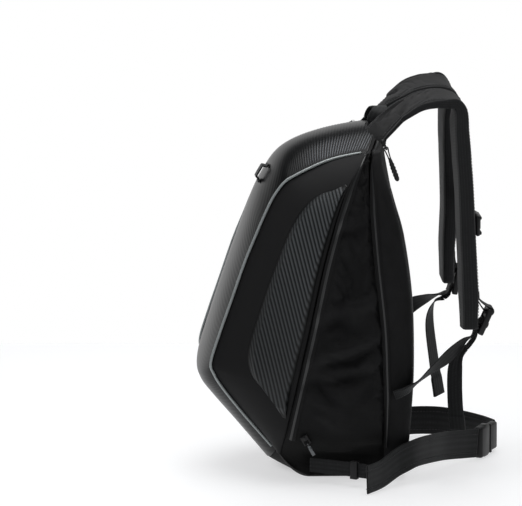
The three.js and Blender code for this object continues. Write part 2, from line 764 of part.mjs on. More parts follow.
// A zip slider with a bar across its lower end, and a pull that hangs on the bar. In the group's own frame
// X is the bar, Y points down the slider, and Z points away from the pack. The pull hangs at its own angle.
const SLIDER = { wide: 10, tall: 15, thick: 3, bar: 2, corner: 1.5, windowWide: 6, windowTall: 5.5 };
const EYE = { hole: 2.2, rim: 3.3 };
const SHOULDER = 1;
function addZip(name, kind, { place, down, facing, hang, pull, width, look }) {
  const zip = new THREE.Group();
  zip.position.copy(place);
  down.normalize();
  const out = facing.addScaledVector(down, -facing.dot(down)).normalize();
  const bar = down.clone().cross(out);
  zip.setRotationFromMatrix(new THREE.Matrix4().makeBasis(bar, down, out));
  pack.add(zip);
  const middle = SLIDER.bar / 2 - SLIDER.tall / 2;
  const windowY = -SLIDER.bar / 2 - SLIDER.windowTall / 2 - middle;
  const window = { wide: SLIDER.windowWide, tall: SLIDER.windowTall, y: windowY };
  const body = plateGeometry(SLIDER, [window]);
  zip.add(named(`${name}_slider`, body.translate(0, middle, 0), BLACK_PLASTIC));

  const profile = new THREE.Shape();
  const neck = Math.asin(pull.neck / EYE.rim);
  profile.absarc(0, 0, EYE.rim, neck, 2 * Math.PI - neck);
  profile.lineTo(pull.grip, -pull.neck);
  profile.lineTo(pull.grip + SHOULDER, -pull.half);
  profile.lineTo(pull.end, -pull.half);
  profile.lineTo(pull.end, pull.half);
  profile.lineTo(pull.grip + SHOULDER, pull.half);
  profile.lineTo(pull.grip, pull.neck);
  profile.holes.push(new THREE.Path().absarc(0, 0, EYE.hole, 0, 2 * Math.PI));
  const flat = new THREE.ExtrudeGeometry(profile, { depth: width, bevelEnabled: false, curveSegments: 5 });
  flat.translate(0, 0, -width / 2);
  const turned = new THREE.Matrix4().makeBasis(
    new THREE.Vector3(0, 1, 0),
    new THREE.Vector3(0, 0, 1),
    new THREE.Vector3(1, 0, 0),
  );
  const hung = named(`${name}_${kind}`, flat.applyMatrix4(turned), look);
  hung.rotation.x = THREE.MathUtils.degToRad(hang);
  zip.add(hung);
}

addZip('top_zip', 'pull', {
  place: new THREE.Vector3(97, 53, 461),
  down: new THREE.Vector3(0, 0.34, -0.94),
  facing: new THREE.Vector3(0, 1, 0),
  hang: 0,
  pull: { neck: 1.2, grip: 14, half: 3.6, end: 48 },
  width: 5,
  look: BLACK_PLASTIC,
});
addZip('side_zip', 'tab', {
  place: new THREE.Vector3(128.5, -58, 57),
  down: new THREE.Vector3(-0.3, 0.46, -0.836),
  facing: new THREE.Vector3(1, 0, 0),
  hang: 17.5,
  pull: { neck: 1.2, grip: 5, half: 1.2, end: 19 },
  width: 5,
  look: CHROME,
});

for (const [name, side] of [['right', 1], ['left', -1]]) {
  add(`side_insert_${name}`, insertGeometry(side), GREY_SKIN);
  add(`piping_${name}`, pipingGeometry(side), REFLECTIVE);
  const strap = stripGeometry(STRAP_ROUTES[name], STRAP_SHAPE);
  add(`shoulder_strap_${name}`, side > 0 ? strap : mirrored(strap), BLACK_CLOTH);
  add(`lower_webbing_${name}`, stripGeometry(LOWER_ROUTES[name], { ...webbing, steps: 20 }), WEBBING);
  add(`webbing_tail_${name}`, stripGeometry(TAIL_ROUTES[name], { ...webbing, steps: 16 }), WEBBING);
  const belt = { from: UPWARDS, steps: 28, wide: BELT_TALL, thick: BELT_THICK };
  add(`hip_belt_${name}`, stripGeometry(BELT_ROUTES[name], belt), WEBBING);

  const buckle = add(`strap_buckle_${name}`, plateGeometry(LADDER, LADDER_SLOTS), BLACK_PLASTIC);
  const place = LADDER_PLACES[name];
  buckle.position.set(place.x, place.y, place.z);
  buckle.rotation.x = THREE.MathUtils.degToRad(place.tilt);

  const slider = add(`sternum_slider_${name}`, plateGeometry(CHEST_SLIDER), BLACK_PLASTIC);
  slider.position.set(side * CHEST.sliderX, CHEST.y, CHEST.z);
  slider.rotation.x = Math.PI / 2;
  const chest = table(['x', 'y', 'z', 'roll'], [
    [side * CHEST.from, CHEST.y, CHEST.z, 0],
    [side * (CHEST.from + CHEST.to) / 2, CHEST.y, CHEST.z - CHEST.droop, 0],
    [side * CHEST.to, CHEST.y, CHEST.z, 0],
  ]);
  const chestWebbing = { from: UPWARDS, steps: 6, wide: CHEST_WEBBING_WIDE, thick: WEBBING_THICK };
  add(`sternum_strap_${name}`, stripGeometry(chest, chestWebbing), WEBBING);

  const anchor = { from: UPWARDS, steps: 20, wide: ANCHOR_WIDE, thick: WEBBING_THICK };
  add(`belt_anchor_${name}`, stripGeometry(ANCHOR_ROUTES[name], anchor), WEBBING);
  const route = ANCHOR_ROUTES[name].map((row) => new THREE.Vector3(row.x, row.y, row.z));
  const curve = new THREE.CatmullRomCurve3(route);
  const tangent = curve.getTangent(TRIGLIDE.stop);
  const level = UPWARDS.clone().cross(tangent).normalize();
  const loop = { wide: ANCHOR_WIDE + TRIGLIDE.room, tall: WEBBING_THICK + TRIGLIDE.room, y: 0 };
  const triglide = add(`belt_triglide_${name}`, plateGeometry(TRIGLIDE, [loop]), BLACK_PLASTIC);
  triglide.position.copy(curve.getPoint(TRIGLIDE.stop));
  const upright = level.clone().cross(tangent);
  triglide.setRotationFromMatrix(new THREE.Matrix4().makeBasis(upright, level, tangent));
}

export default pack;
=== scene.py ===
import math

import bmesh
import bpy
from mathutils import Matrix, Vector, noise


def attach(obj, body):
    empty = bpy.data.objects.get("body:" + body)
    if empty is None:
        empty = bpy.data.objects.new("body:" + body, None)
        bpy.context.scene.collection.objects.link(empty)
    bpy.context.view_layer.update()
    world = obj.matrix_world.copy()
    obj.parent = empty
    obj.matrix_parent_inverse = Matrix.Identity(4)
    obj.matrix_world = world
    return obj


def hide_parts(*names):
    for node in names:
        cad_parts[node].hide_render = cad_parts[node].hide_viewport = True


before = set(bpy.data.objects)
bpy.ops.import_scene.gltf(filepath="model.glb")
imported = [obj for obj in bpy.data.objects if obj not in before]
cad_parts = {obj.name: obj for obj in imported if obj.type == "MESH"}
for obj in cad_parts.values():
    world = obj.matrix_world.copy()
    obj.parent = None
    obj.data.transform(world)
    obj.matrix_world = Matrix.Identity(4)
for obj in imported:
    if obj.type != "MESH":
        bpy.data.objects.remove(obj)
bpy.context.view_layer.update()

# Camera
# A product camera far back with a long lens, a little above the pack's middle. It looks at the wearer's
# right side, turned slightly towards the shell.
AZIMUTH = math.radians(84)
ELEVATION = math.radians(12)
CAMERA_DISTANCE = 12
VIEW_WIDE = 0.72036
VIEW_MIDDLE = Vector((0, -0.1088, 0.2987))
SENSOR_WIDE = 36

towards_camera = Vector((
    math.sin(AZIMUTH) * math.cos(ELEVATION),
    -math.cos(AZIMUTH) * math.cos(ELEVATION),
    math.sin(ELEVATION),
))
lens = bpy.data.cameras.new("product_camera")
lens.sensor_width = SENSOR_WIDE
lens.lens = SENSOR_WIDE * CAMERA_DISTANCE / VIEW_WIDE
camera = bpy.data.objects.new("product_camera", lens)
camera.location = VIEW_MIDDLE + towards_camera * CAMERA_DISTANCE
camera.rotation_euler = towards_camera.to_track_quat("Z", "Y").to_euler()
bpy.context.scene.collection.objects.link(camera)
bpy.context.scene.camera = camera

# Studio floor and light
# A white table that glows as painted light to lift its shadows, the glow fading out near the pack as a
# painted contact shadow, in a dim room with one large softbox right above it and a small one high in front.
# The table meets a white wall, which stands higher behind the pack.
FLOOR_SIZE = 6
FLOOR_BACK = -0.753
FLOOR_GRAIN = 0.3
FLOOR_COLOUR = "#aeafb0"
PAINTED_GLOW_COLOUR = "#f6f6f7"
PAINTED_FLOOR_GLOW = 0.66
PAINTED_SHADOW_RADIUS = 0.03
FULL_GLOW_RADIUS = 0.1
WALL_COLOUR = "#ffffff"
ROOM_COLOUR = "#565859"
WALL_RISE = 0.4
WALL_SIDES = (-0.4, -0.8)


def linear(colour):
    """An sRGB hex colour as linear red, green, blue and alpha."""
    parts = [int(colour[i:i + 2], 16) / 255 for i in (1, 3, 5)]
    return [p / 12.92 if p <= 0.04045 else ((p + 0.055) / 1.055) ** 2.4 for p in parts] + [1]


def add_node(tree, kind, inputs=None, **settings):
    """A node with its settings, and its sockets set to values or linked to other sockets."""
    made = tree.nodes.new(kind)
    for key, value in settings.items():
        setattr(made, key, value)
    for socket, value in (inputs or {}).items():
        if isinstance(value, bpy.types.NodeSocket):
            tree.links.new(value, made.inputs[socket])
        else:
            made.inputs[socket].default_value = value
    return made


def start_finish(name):
    """An empty material, its node tree, and a function that ends it with a shader of the given sockets."""
    finish = bpy.data.materials.new(name)
    finish.use_nodes = True
    tree = finish.node_tree
    tree.nodes.clear()

    def end_finish(**sockets):
        named = {key.replace("_", " ").title().replace("Ior", "IOR"): value for key, value in sockets.items()}
        shader = add_node(tree, "ShaderNodeBsdfPrincipled", named)
        add_node(tree, "ShaderNodeOutputMaterial", {"Surface": shader.outputs["BSDF"]})
        return finish

    return tree, end_finish


# Sheet acrylic: milky white, satin, with a faint grain that breaks up its glow. The glow is painted light
# that lifts the floor's shadows, and it fades out near the pack as a painted contact shadow.
tree, end_finish = start_finish("satin_white_acrylic")
floor_place = add_node(tree, "ShaderNodeTexCoord")
floor_grain = add_node(tree, "ShaderNodeTexNoise", {
    "Vector": floor_place.outputs["Object"], "Scale": 1 / FLOOR_GRAIN, "Detail": 2.0})
floor_bump = add_node(tree, "ShaderNodeBump", {"Height": floor_grain.outputs["Fac"], "Strength": 0.02})
# Painted shadow: no glow close to the pack, full glow from a little further out.
from_pack = add_node(tree, "ShaderNodeVectorMath", {0: floor_place.outputs["Object"]}, operation="LENGTH")
painted_glow = add_node(tree, "ShaderNodeMapRange", {
    "Value": from_pack.outputs["Value"], "From Min": PAINTED_SHADOW_RADIUS, "From Max": FULL_GLOW_RADIUS, "To Min": 0.0,
    "To Max": PAINTED_FLOOR_GLOW}, interpolation_type="SMOOTHSTEP")
white_acrylic = end_finish(
    base_color=linear(FLOOR_COLOUR), roughness=0.6, emission_color=linear(PAINTED_GLOW_COLOUR),
    emission_strength=painted_glow.outputs["Result"], normal=floor_bump.outputs["Normal"])

shape = bmesh.new()
bmesh.ops.create_grid(shape, x_segments=1, y_segments=1, size=FLOOR_SIZE)
bmesh.ops.translate(shape, verts=shape.verts, vec=(FLOOR_SIZE + FLOOR_BACK, 0, 0))
square_to_view = Matrix.Rotation(AZIMUTH - math.pi / 2, 3, "Z")
bmesh.ops.rotate(shape, verts=shape.verts, cent=(0, 0, 0), matrix=square_to_view)
floor_mesh = bpy.data.meshes.new("floor")
shape.to_mesh(floor_mesh)
shape.free()
floor_mesh.materials.append(white_acrylic)
floor = bpy.data.objects.new("floor", floor_mesh)
bpy.context.scene.collection.objects.link(floor)

room = bpy.data.worlds.new("dim_room")
room.use_nodes = True
room_tree = room.node_tree
direction = add_node(room_tree, "ShaderNodeTexCoord")
heading = add_node(room_tree, "ShaderNodeSeparateXYZ", {"Vector": direction.outputs["Generated"]})
wall_top = add_node(room_tree, "ShaderNodeMapRange", {
    "Value": heading.outputs["X"], "From Min": WALL_SIDES[0], "From Max": WALL_SIDES[1], "To Min": 0.0,
    "To Max": WALL_RISE})
above = add_node(room_tree, "ShaderNodeMath", {
    0: heading.outputs["Z"], 1: wall_top.outputs["Result"]}, operation="GREATER_THAN")
room_light = add_node(room_tree, "ShaderNodeMixRGB", {
    "Fac": above.outputs["Value"], "Color1": linear(WALL_COLOUR), "Color2": linear(ROOM_COLOUR)})
room_tree.links.new(room_light.outputs["Color"], room_tree.nodes["Background"].inputs["Color"])
bpy.context.scene.world = room
bpy.context.scene.view_settings.view_transform = "Standard"

for name, place, aim, size, power in (
    ("softbox_above", (-0.1, -0.1, 1.9), (0, -0.05, 0), 1.6, 36),
    ("softbox_high_in_front", (1.0, -1.1, 1.9), (0, -0.1, 0.3), 0.7, 4),
):
    softbox = bpy.data.lights.new(name, "AREA")
    softbox.size = size
    softbox.energy = power
    lamp = bpy.data.objects.new(name, softbox)
    lamp.location = place
    lamp.rotation_euler = (Vector(place) - Vector(aim)).to_track_quat("Z", "Y").to_euler()
    bpy.context.scene.collection.objects.link(lamp)

# Front shell
# One moulded shell of foam-backed sheet. Its front wears a carbon-look skin embossed with ribs that run
# across it, and its side facets a matte black cloth. The rim turns in behind and is sewn to the gusset.
MM = 0.001
PACK_MIDDLE = Vector((0, -20, 230))
LAST_STATION = 16
CREASE = 0.5
CROWN_POWER = 2.3
SIDE_BULGE = 4
SHELL_ROWS = 600
SHELL_COLUMNS = 96
SHELL_WALL = 3
FRONT_LENGTH = 760
SHELL_ACROSS = 420
SHELL_CUT = (FRONT_LENGTH * MM, SHELL_ACROSS * MM)
FRONT_RIB_PITCH = 6.4
FRONT_RIB_LEAN = -0.2
FRONT_RIB_HEIGHT = 0.8
FRONT_RIB_LEAST = 0.3
FRONT_RIB_MIDDLE = 0.3
# Where the ribs fade, as shares: at the crease, from the top to the front, and from the middle to the sides.
RIB_ENDS = (CREASE - 0.05, CREASE - 0.01)
RIB_TOP = (0.12, 0.3)
RIB_SIDES = (0.1, 0.45)
CREST_HIGHLIGHT_FROM = 0.4
MERGE_MM = 0.02


def table(columns, rows):
    """Rows of numbers as dictionaries with the named columns."""
    return [dict(zip(columns, row)) for row in rows]


# From the top rear edge over the nose to the lower tip: a point on the centre line (cy, cz), one on the
# crease between front and side facet (px, py, pz), and the height on the rim, in millimetres.
SHELL_STATIONS = table(("at", "cy", "cz", "px", "py", "pz", "rz"), (
    (0, 44, 481, 82, 27, 454, 455),
    (1, 12, 477, 82, 2, 450, 441),
    (2, -19, 471, 82, -22, 444, 424),
    (3, -50, 462, 82, -45, 435, 400),
    (4, -73, 451, 82, -68, 424, 375),
    (5, -89, 437, 81, -84, 414, 346),
    (6, -103, 416, 80, -99, 394, 316),
    (7, -116, 392, 79, -112, 367, 286),
    (8, -128, 361, 78, -122, 343, 255),
    (9, -147, 306, 78, -138, 304, 220),
    (10, -166, 251, 77, -157, 249, 190),
    (11, -185, 190, 76, -174, 200, 165),
    (12, -197, 146, 75, -185, 163, 142),
    (13, -194, 126, 74, -181, 147, 123),
    (14, -179, 105, 72, -169, 127, 106),
    (15, -146, 66, 70, -139, 88, 78),
    (16, -103, 14, 68, -96, 37, 36),
))
# Half width and depth of the shell's rim, and of the seam at the rear body, by height.
SIDE_HEIGHTS = table(("z", "rimX", "rimY", "seamX", "seamY"), (
    (0, 92, -96, 108, 50),
    (36, 100, -94, 124, 49),
    (78, 128, -88, 134, 48),
    (140, 143, -76, 142, 45),
    (220, 150, -59, 146, 41),
    (316, 150, -38, 145, 31),
    (400, 142, -12, 139, 25),
    (441, 128, 11, 128, 25),
    (462, 106, 27, 112, 30),
))


def mix(a, b, share):
    return a + (b - a) * share


def ease(value, low, high):
    """0 below low, 1 above high, and a smooth rise between them."""
    share = min(max((value - low) / (high - low), 0), 1)
    return share * share * (3 - 2 * share)


def look_up(rows, key, at, column):
    """A column of a table at a key, by a smooth curve through its rows."""
    last = len(rows) - 1
    i = 0
    while i < last - 1 and at > rows[i + 1][key]:
        i += 1

    def slope(k):
        before = rows[max(k - 1, 0)]
        after = rows[min(k + 1, last)]
        return (after[column] - before[column]) / (after[key] - before[key])

    span = rows[i + 1][key] - rows[i][key]
    t = min(max((at - rows[i][key]) / span, 0), 1)
    rise = t * t * (3 - 2 * t)
    leave = t * (1 - t) * (1 - t) * span * slope(i)
    arrive = t * t * (t - 1) * span * slope(i + 1)
    return mix(rows[i][column], rows[i + 1][column], rise) + leave + arrive


def rim_point(at, side):
    z = look_up(SHELL_STATIONS, "at", at, "rz")
    x = look_up(SIDE_HEIGHTS, "z", z, "rimX")
    return Vector((side * x, look_up(SIDE_HEIGHTS, "z", z, "rimY"), z))


def shell_point(at, across):
    """The shell's outside: across is -1 on the left rim, 0 on the centre line and 1 on the right rim."""
    side = -1 if across < 0 else 1
    far = min(abs(across), 1)
    crease = Vector((
        side * look_up(SHELL_STATIONS, "at", at, "px"),
        look_up(SHELL_STATIONS, "at", at, "py"),
        look_up(SHELL_STATIONS, "at", at, "pz"),
    ))
    if far <= CREASE:
        share = far / CREASE
        drop = share ** CROWN_POWER
        return Vector((
            crease.x * share,
            mix(look_up(SHELL_STATIONS, "at", at, "cy"), crease.y, drop),
            mix(look_up(SHELL_STATIONS, "at", at, "cz"), crease.z, drop),
        ))
    share = (far - CREASE) / (1 - CREASE)
    bulge = SIDE_BULGE * 4 * share * (1 - share)
    return crease.lerp(rim_point(at, side), share) + Vector((side * bulge, -bulge / 2, 0))


def cloth_grid(along, across, surface, cut, rise=None, closed=False):
    """A grid laid on surface(u, v) in millimetres, facing away from the pack's middle. Its UV map is the
    flat cut in metres. rise(u, v) lifts it off the surface, and closed joins its first and last rows."""
    shape = bmesh.new()
    bmesh.ops.create_grid(shape, x_segments=along, y_segments=across, size=0.5)
    cut_map = shape.loops.layers.uv.new("cut")
    for face in shape.faces:
        for corner in face.loops:
            corner[cut_map].uv = ((corner.vert.co.x + 0.5) * cut[0], (corner.vert.co.y + 0.5) * cut[1])
    places = [(point.co.x + 0.5, point.co.y + 0.5) for point in shape.verts]
    for point, (u, v) in zip(shape.verts, places):
        point.co = surface(u, v)
    shape.normal_update()
    outward = sum(face.normal.dot(face.calc_center_median() - PACK_MIDDLE) for face in shape.faces)
    if outward < 0:
        bmesh.ops.reverse_faces(shape, faces=shape.faces)
    shape.normal_update()
    if rise:
        lifted = [point.co + point.normal * rise(u, v) for point, (u, v) in zip(shape.verts, places)]
        for point, place in zip(shape.verts, lifted):
            point.co = place
    bmesh.ops.scale(shape, verts=shape.verts, vec=(MM, MM, MM))
    if closed:
        bmesh.ops.remove_doubles(shape, verts=shape.verts, dist=MERGE_MM * MM)
    return shape


def add_piece(name, shape, finishes, nodes=(), body="pack"):
    """A finished piece: it rides on a body, and stands for the CAD nodes given."""
    mesh = bpy.data.meshes.new(name)
    shape.to_mesh(mesh)
    shape.free()
    mesh.shade_smooth()
    for finish in finishes:
        mesh.materials.append(finish)
    piece = bpy.data.objects.new(name, mesh)
    bpy.context.scene.collection.objects.link(piece)
    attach(piece, body)
    if nodes:
        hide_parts(*nodes)
    return piece


def turn_in_edges(shape, depth):
    """Gives an open grid a turned-in edge, towards the pack's middle."""
    rim = [edge for edge in shape.edges if edge.is_boundary]
    made = bmesh.ops.extrude_edge_only(shape, edges=rim)
    shape.normal_update()
    for point in (item for item in made["geom"] if isinstance(item, bmesh.types.BMVert)):
        point.co -= point.normal * depth * MM


def mark_ribs(shape, rib, cut):
    """Keeps how far each point is up a rib, for the colour of the film: painted shade in the grooves and
    painted highlight on the crests.
    """
    cut_map = shape.loops.layers.uv.active
    rib_layer = shape.verts.layers.float.new("rib")
    for face in shape.faces:
        for corner in face.loops:
            u, v = corner[cut_map].uv
            corner.vert[rib_layer] = rib(u / cut[0], v / cut[1])


def part_faces(shape, across, second):
    """Gives the second finish to the faces where second(v) holds, at a share v of the cut's width."""
    cut_map = shape.loops.layers.uv.active
    for face in shape.faces:
        middle = sum(corner[cut_map].uv.y for corner in face.loops) / len(face.loops)
        face.material_index = int(second(middle / across))


def wave(run):
    """1 at each whole number and 0 halfway between."""
    return 0.5 + 0.5 * math.cos(2 * math.pi * run)


# Embossed carbon-look skin: PVC film over foam, black. Its colour follows the ribs: painted shade in the
# grooves, and a painted grey highlight only on the crests of the tall ribs at the top rear.
tree, end_finish = start_finish("carbon_look_film")
rib = add_node(tree, "ShaderNodeAttribute", attribute_name="rib")
rib_shade_and_highlight = add_node(tree, "ShaderNodeValToRGB", {"Fac": rib.outputs["Fac"]})
rib_shade_and_highlight.color_ramp.elements[0].color = linear("#050506")
rib_shade_and_highlight.color_ramp.elements[1].color = linear("#5f6266")
# Painted highlight: above this share of a rib the crest turns grey.
rib_shade_and_highlight.color_ramp.elements.new(CREST_HIGHLIGHT_FROM).color = linear("#131415")
THREAD_MM = 1.6
thread_map = add_node(tree, "ShaderNodeTexCoord")
threads = add_node(tree, "ShaderNodeTexNoise", {
    "Vector": thread_map.outputs["UV"], "Scale": 1 / (THREAD_MM * MM), "Detail": 1.0})
thread_bump = add_node(tree, "ShaderNodeBump", {
    "Height": threads.outputs["Fac"], "Strength": 0.06, "Distance": 0.3 * MM})
carbon_film = end_finish(
    base_color=rib_shade_and_highlight.outputs["Color"], roughness=0.3, specular_ior_level=0.09,
    normal=thread_bump.outputs["Normal"])

# Matte cloth laminated on the side facets: close-woven, with an uneven thread and almost no shine.
tree, end_finish = start_finish("laminated_side_cloth")
WEAVE_MM = 1.3
weave_map = add_node(tree, "ShaderNodeTexCoord")
side_weave = add_node(tree, "ShaderNodeTexNoise", {
    "Vector": weave_map.outputs["UV"], "Scale": 1 / (WEAVE_MM * MM), "Detail": 2.0})
side_bump = add_node(tree, "ShaderNodeBump", {
    "Height": side_weave.outputs["Fac"], "Strength": 0.25, "Distance": 0.3 * MM})
side_cloth = end_finish(
    base_color=linear("#131314"), roughness=0.75, specular_ior_level=0.2,
    normal=side_bump.outputs["Normal"])


def front_rib(u, v):
    """How far a point is up a rib of the front skin, from 0 to 1. The ribs are deepest at the top rear beside
    the crease, shallow in front and over the middle, and fade out at the crease."""
    across = 2 * v - 1
    run = (u * FRONT_LENGTH + FRONT_RIB_LEAN * across * SHELL_ACROSS / 2) / FRONT_RIB_PITCH
    fade = 1 - ease(abs(across), *RIB_ENDS)
    depth = mix(1, FRONT_RIB_LEAST, ease(u, *RIB_TOP))
    depth *= mix(FRONT_RIB_MIDDLE, 1, ease(abs(across), *RIB_SIDES))
    return fade * depth * wave(run)


shape = cloth_grid(
    SHELL_ROWS, SHELL_COLUMNS, lambda u, v: shell_point(u * LAST_STATION, 2 * v - 1), SHELL_CUT,
    rise=lambda u, v: FRONT_RIB_HEIGHT * (front_rib(u, v) - 1))
mark_ribs(shape, front_rib, SHELL_CUT)
part_faces(shape, SHELL_CUT[1], lambda v: abs(2 * v - 1) > CREASE)
turn_in_edges(shape, SHELL_WALL)
add_piece("front_shell_skin", shape, (carbon_film, side_cloth), ("front_shell",))

# Side inserts
# A raised moulded panel in each side facet, in the same carbon-look film, with a bevelled front edge and
# upright ribs that lean a little. Its edge is pressed into a groove of the facet.
INSERT_ROWS = 260
INSERT_COLUMNS = 180
INSERT_LIFT = 0.4
INSERT_HEIGHT = 6
INSERT_SINK = 1
INSERT_RIB_PITCH = 4.8
INSERT_RIB_LEAN = 0.23
INSERT_RIB_HEIGHT = 0.8
INSERT_CUT = (0.42, 0.14)
# Shares of its width and length: the bevels along its edges, the flatter top end, and where the ribs start at
# the edges. The ribs are shallower on the front bevel and towards the lower end.
INSERT_BEVEL = 0.17
REAR_BEVEL = 0.06
END_BEVEL = 0.05
INSERT_TOP = 0.35
INSERT_TOP_HEIGHT = 0.3
FRONT_START = (0.02, 0.05)
REAR_START = (0, 0.05)
END_START = (0.01, 0.03)
BEVEL_END = (INSERT_BEVEL - 0.02, INSERT_BEVEL + 0.02)
BEVEL_RIB = 0.6
LOWER_END = (0.25, 0.85)
LOWER_RIB = 0.55
SIDES = (("right", 1), ("left", -1))
# Its outline as shares of the side facet, from the crease (0) to the rim (1).
INSERT_OUTLINE = table(("at", "front", "back"), (
    (2.3, 0.88, 0.95),
    (2.8, 0.74, 0.95),
    (3.6, 0.54, 0.95),
    (4.9, 0.44, 0.95),
    (7.3, 0.38, 0.95),
    (10.1, 0.36, 0.95),
    (11.1, 0.38, 0.95),
    (11.6, 0.43, 0.95),
    (12.9, 0.62, 0.95),
    (14.5, 0.9, 0.96),
))

# The same film in grey on the inserts: painted shade in the grooves and a painted highlight on the crests,
# brightest where the ribs are deep at the upper end, dimmer on the front bevel and the lower end, and darkest
# as a painted shadow line at the panel's edges.
tree, end_finish = start_finish("grey_carbon_look_film")
rib = add_node(tree, "ShaderNodeAttribute", attribute_name="rib")
rib_shade_and_highlight = add_node(tree, "ShaderNodeValToRGB", {"Fac": rib.outputs["Fac"]})
rib_shade_and_highlight.color_ramp.elements[0].color = linear("#050606")
rib_shade_and_highlight.color_ramp.elements[1].color = linear("#4b4e50")
thread_map = add_node(tree, "ShaderNodeTexCoord")
threads = add_node(tree, "ShaderNodeTexNoise", {
    "Vector": thread_map.outputs["UV"], "Scale": 1 / (THREAD_MM * MM), "Detail": 1.0})
thread_bump = add_node(tree, "ShaderNodeBump", {
    "Height": threads.outputs["Fac"], "Strength": 0.05, "Distance": 0.3 * MM})
insert_film = end_finish(
    base_color=rib_shade_and_highlight.outputs["Color"], roughness=0.36, specular_ior_level=0.2,
    normal=thread_bump.outputs["Normal"])

for name, side in SIDES:
    def insert_point(u, v):
        at = mix(INSERT_OUTLINE[0]["at"], INSERT_OUTLINE[-1]["at"], u)
        front = look_up(INSERT_OUTLINE, "at", at, "front")
        back = look_up(INSERT_OUTLINE, "at", at, "back")
        return shell_point(at, side * mix(CREASE, 1, mix(front, back, v)))

    def insert_rib(u, v):
        place = insert_point(u, v)
        run = (place.y + INSERT_RIB_LEAN * place.z) / INSERT_RIB_PITCH
        ends = min(ease(u, *END_START), ease(1 - u, *END_START))
        edge = min(ease(v, *FRONT_START), ease(1 - v, *REAR_START), ends)
        # The film's painted highlight and shade follow this depth.
        depth = mix(1, LOWER_RIB, ease(u, *LOWER_END)) * mix(BEVEL_RIB, 1, ease(v, *BEVEL_END))
        return edge * depth * wave(run)

    def insert_rise(u, v):
        bevel = min(v / INSERT_BEVEL, (1 - v) / REAR_BEVEL, u / END_BEVEL, (1 - u) / END_BEVEL, 1)
        height = INSERT_HEIGHT * mix(INSERT_TOP_HEIGHT, 1, ease(u, 0, INSERT_TOP))
        return INSERT_LIFT + height * bevel + INSERT_RIB_HEIGHT * (insert_rib(u, v) - 1)

    shape = cloth_grid(INSERT_ROWS, INSERT_COLUMNS, insert_point, INSERT_CUT, rise=insert_rise)
    mark_ribs(shape, insert_rib, INSERT_CUT)
    turn_in_edges(shape, INSERT_LIFT + INSERT_SINK)
    add_piece(f"insert_panel_{name}", shape, (insert_film,), (f"side_insert_{name}",))

# Piping
# A thin cord wrapped in silver reflective tape, sewn into the crease between the front skin and each side
# facet. It starts under the top zip, pulled in there, and ends at the lower tip.
PIPING_RADIUS = 1.9
PIPING_LIFT = 1.3
PIPING_END_LIFT = 0.2
PIPING_END = 3
PIPING_FROM = 0.25
PIPING_TO = LAST_STATION - 0.1
PIPING_ROWS = 48
STEP = 0.01
ROUND = 1
SIDEWAYS = Vector((1, 0, 0))


def off_surface(surface, u, v, distance):
    """A point of a surface in millimetres moved off it, away from the middle of the pack."""
    here = surface(u, v)
    along = surface(u + STEP, v) - surface(u - STEP, v)
    sideways = surface(u, v + STEP) - surface(u, v - STEP)
    normal = along.cross(sideways).normalized()
    if normal.dot(here - PACK_MIDDLE) < 0:
        normal.negate()
    return here + normal * distance


def strip_place(rows, share, lead):
    """Place, direction, width direction and face direction of a strip, at a share of its route."""
    last = len(rows) - 1
    numbered = [dict(row, step=i) for i, row in enumerate(rows)]

    def place(step):
        return Vector([look_up(numbered, "step", min(max(step, 0), last), axis) for axis in "xyz"])

    at = share * last
    here = place(at)
    along = (place(at + STEP) - place(at - STEP)).normalized()
    width = (lead - along * lead.dot(along)).normalized()
    roll = math.radians(look_up(numbered, "step", at, "roll"))
    wide = width * math.cos(roll) + width.cross(along) * math.sin(roll)
    return here, along, wide, wide.cross(along)


def lay_strip(rows, lead, steps, around, section, mirror=1):
    """A closed strip along a route. section(u, v) gives the offsets over its width and its thickness, in
    millimetres, with v once around it. Its UV map is the length and the girth in metres."""
    shape = bmesh.new()
    bmesh.ops.create_grid(shape, x_segments=steps, y_segments=around, size=0.5)
    cut_map = shape.loops.layers.uv.new("cut")
    stations = [strip_place(rows, i / steps, lead) for i in range(steps + 1)]
    runs = [0]
    for before, after in zip(stations, stations[1:]):
        runs.append(runs[-1] + (after[0] - before[0]).length)
    girth = 0
    for j in range(around):
        girth += (Vector(section(0.5, (j + 1) / around)) - Vector(section(0.5, j / around))).length
    for face in shape.faces:
        for corner in face.loops:
            run = runs[round((corner.vert.co.x + 0.5) * steps)]
            corner[cut_map].uv = (run * MM, (corner.vert.co.y + 0.5) * girth * MM)
    for point in shape.verts:
        u, v = point.co.x + 0.5, point.co.y + 0.5
        here, along, wide, up = stations[round(u * steps)]
        over, out = section(u, v)
        place = here + wide * over + up * out
        point.co = Vector((place.x * mirror, place.y, place.z)) * MM
    bmesh.ops.remove_doubles(shape, verts=shape.verts, dist=MERGE_MM * MM)
    bmesh.ops.holes_fill(shape, edges=[edge for edge in shape.edges if edge.is_boundary], sides=0)
    bmesh.ops.recalc_face_normals(shape, faces=shape.faces)
    return shape


def oval_section(wide, thick, square):
    """A section between an ellipse (square 1) and a rectangle (square near 0)."""

    def offsets(u, v):
        turn = 2 * math.pi * v
        over = math.copysign(abs(math.cos(turn)) ** square, math.cos(turn))
        out = math.copysign(abs(math.sin(turn)) ** square, math.sin(turn))
        return over * wide / 2, out * thick / 2

    return offsets


def flat_route(places):
    """The rows of a route through places in millimetres, without a roll."""
    return [{"x": x, "y": y, "z": z, "roll": 0} for x, y, z in places]


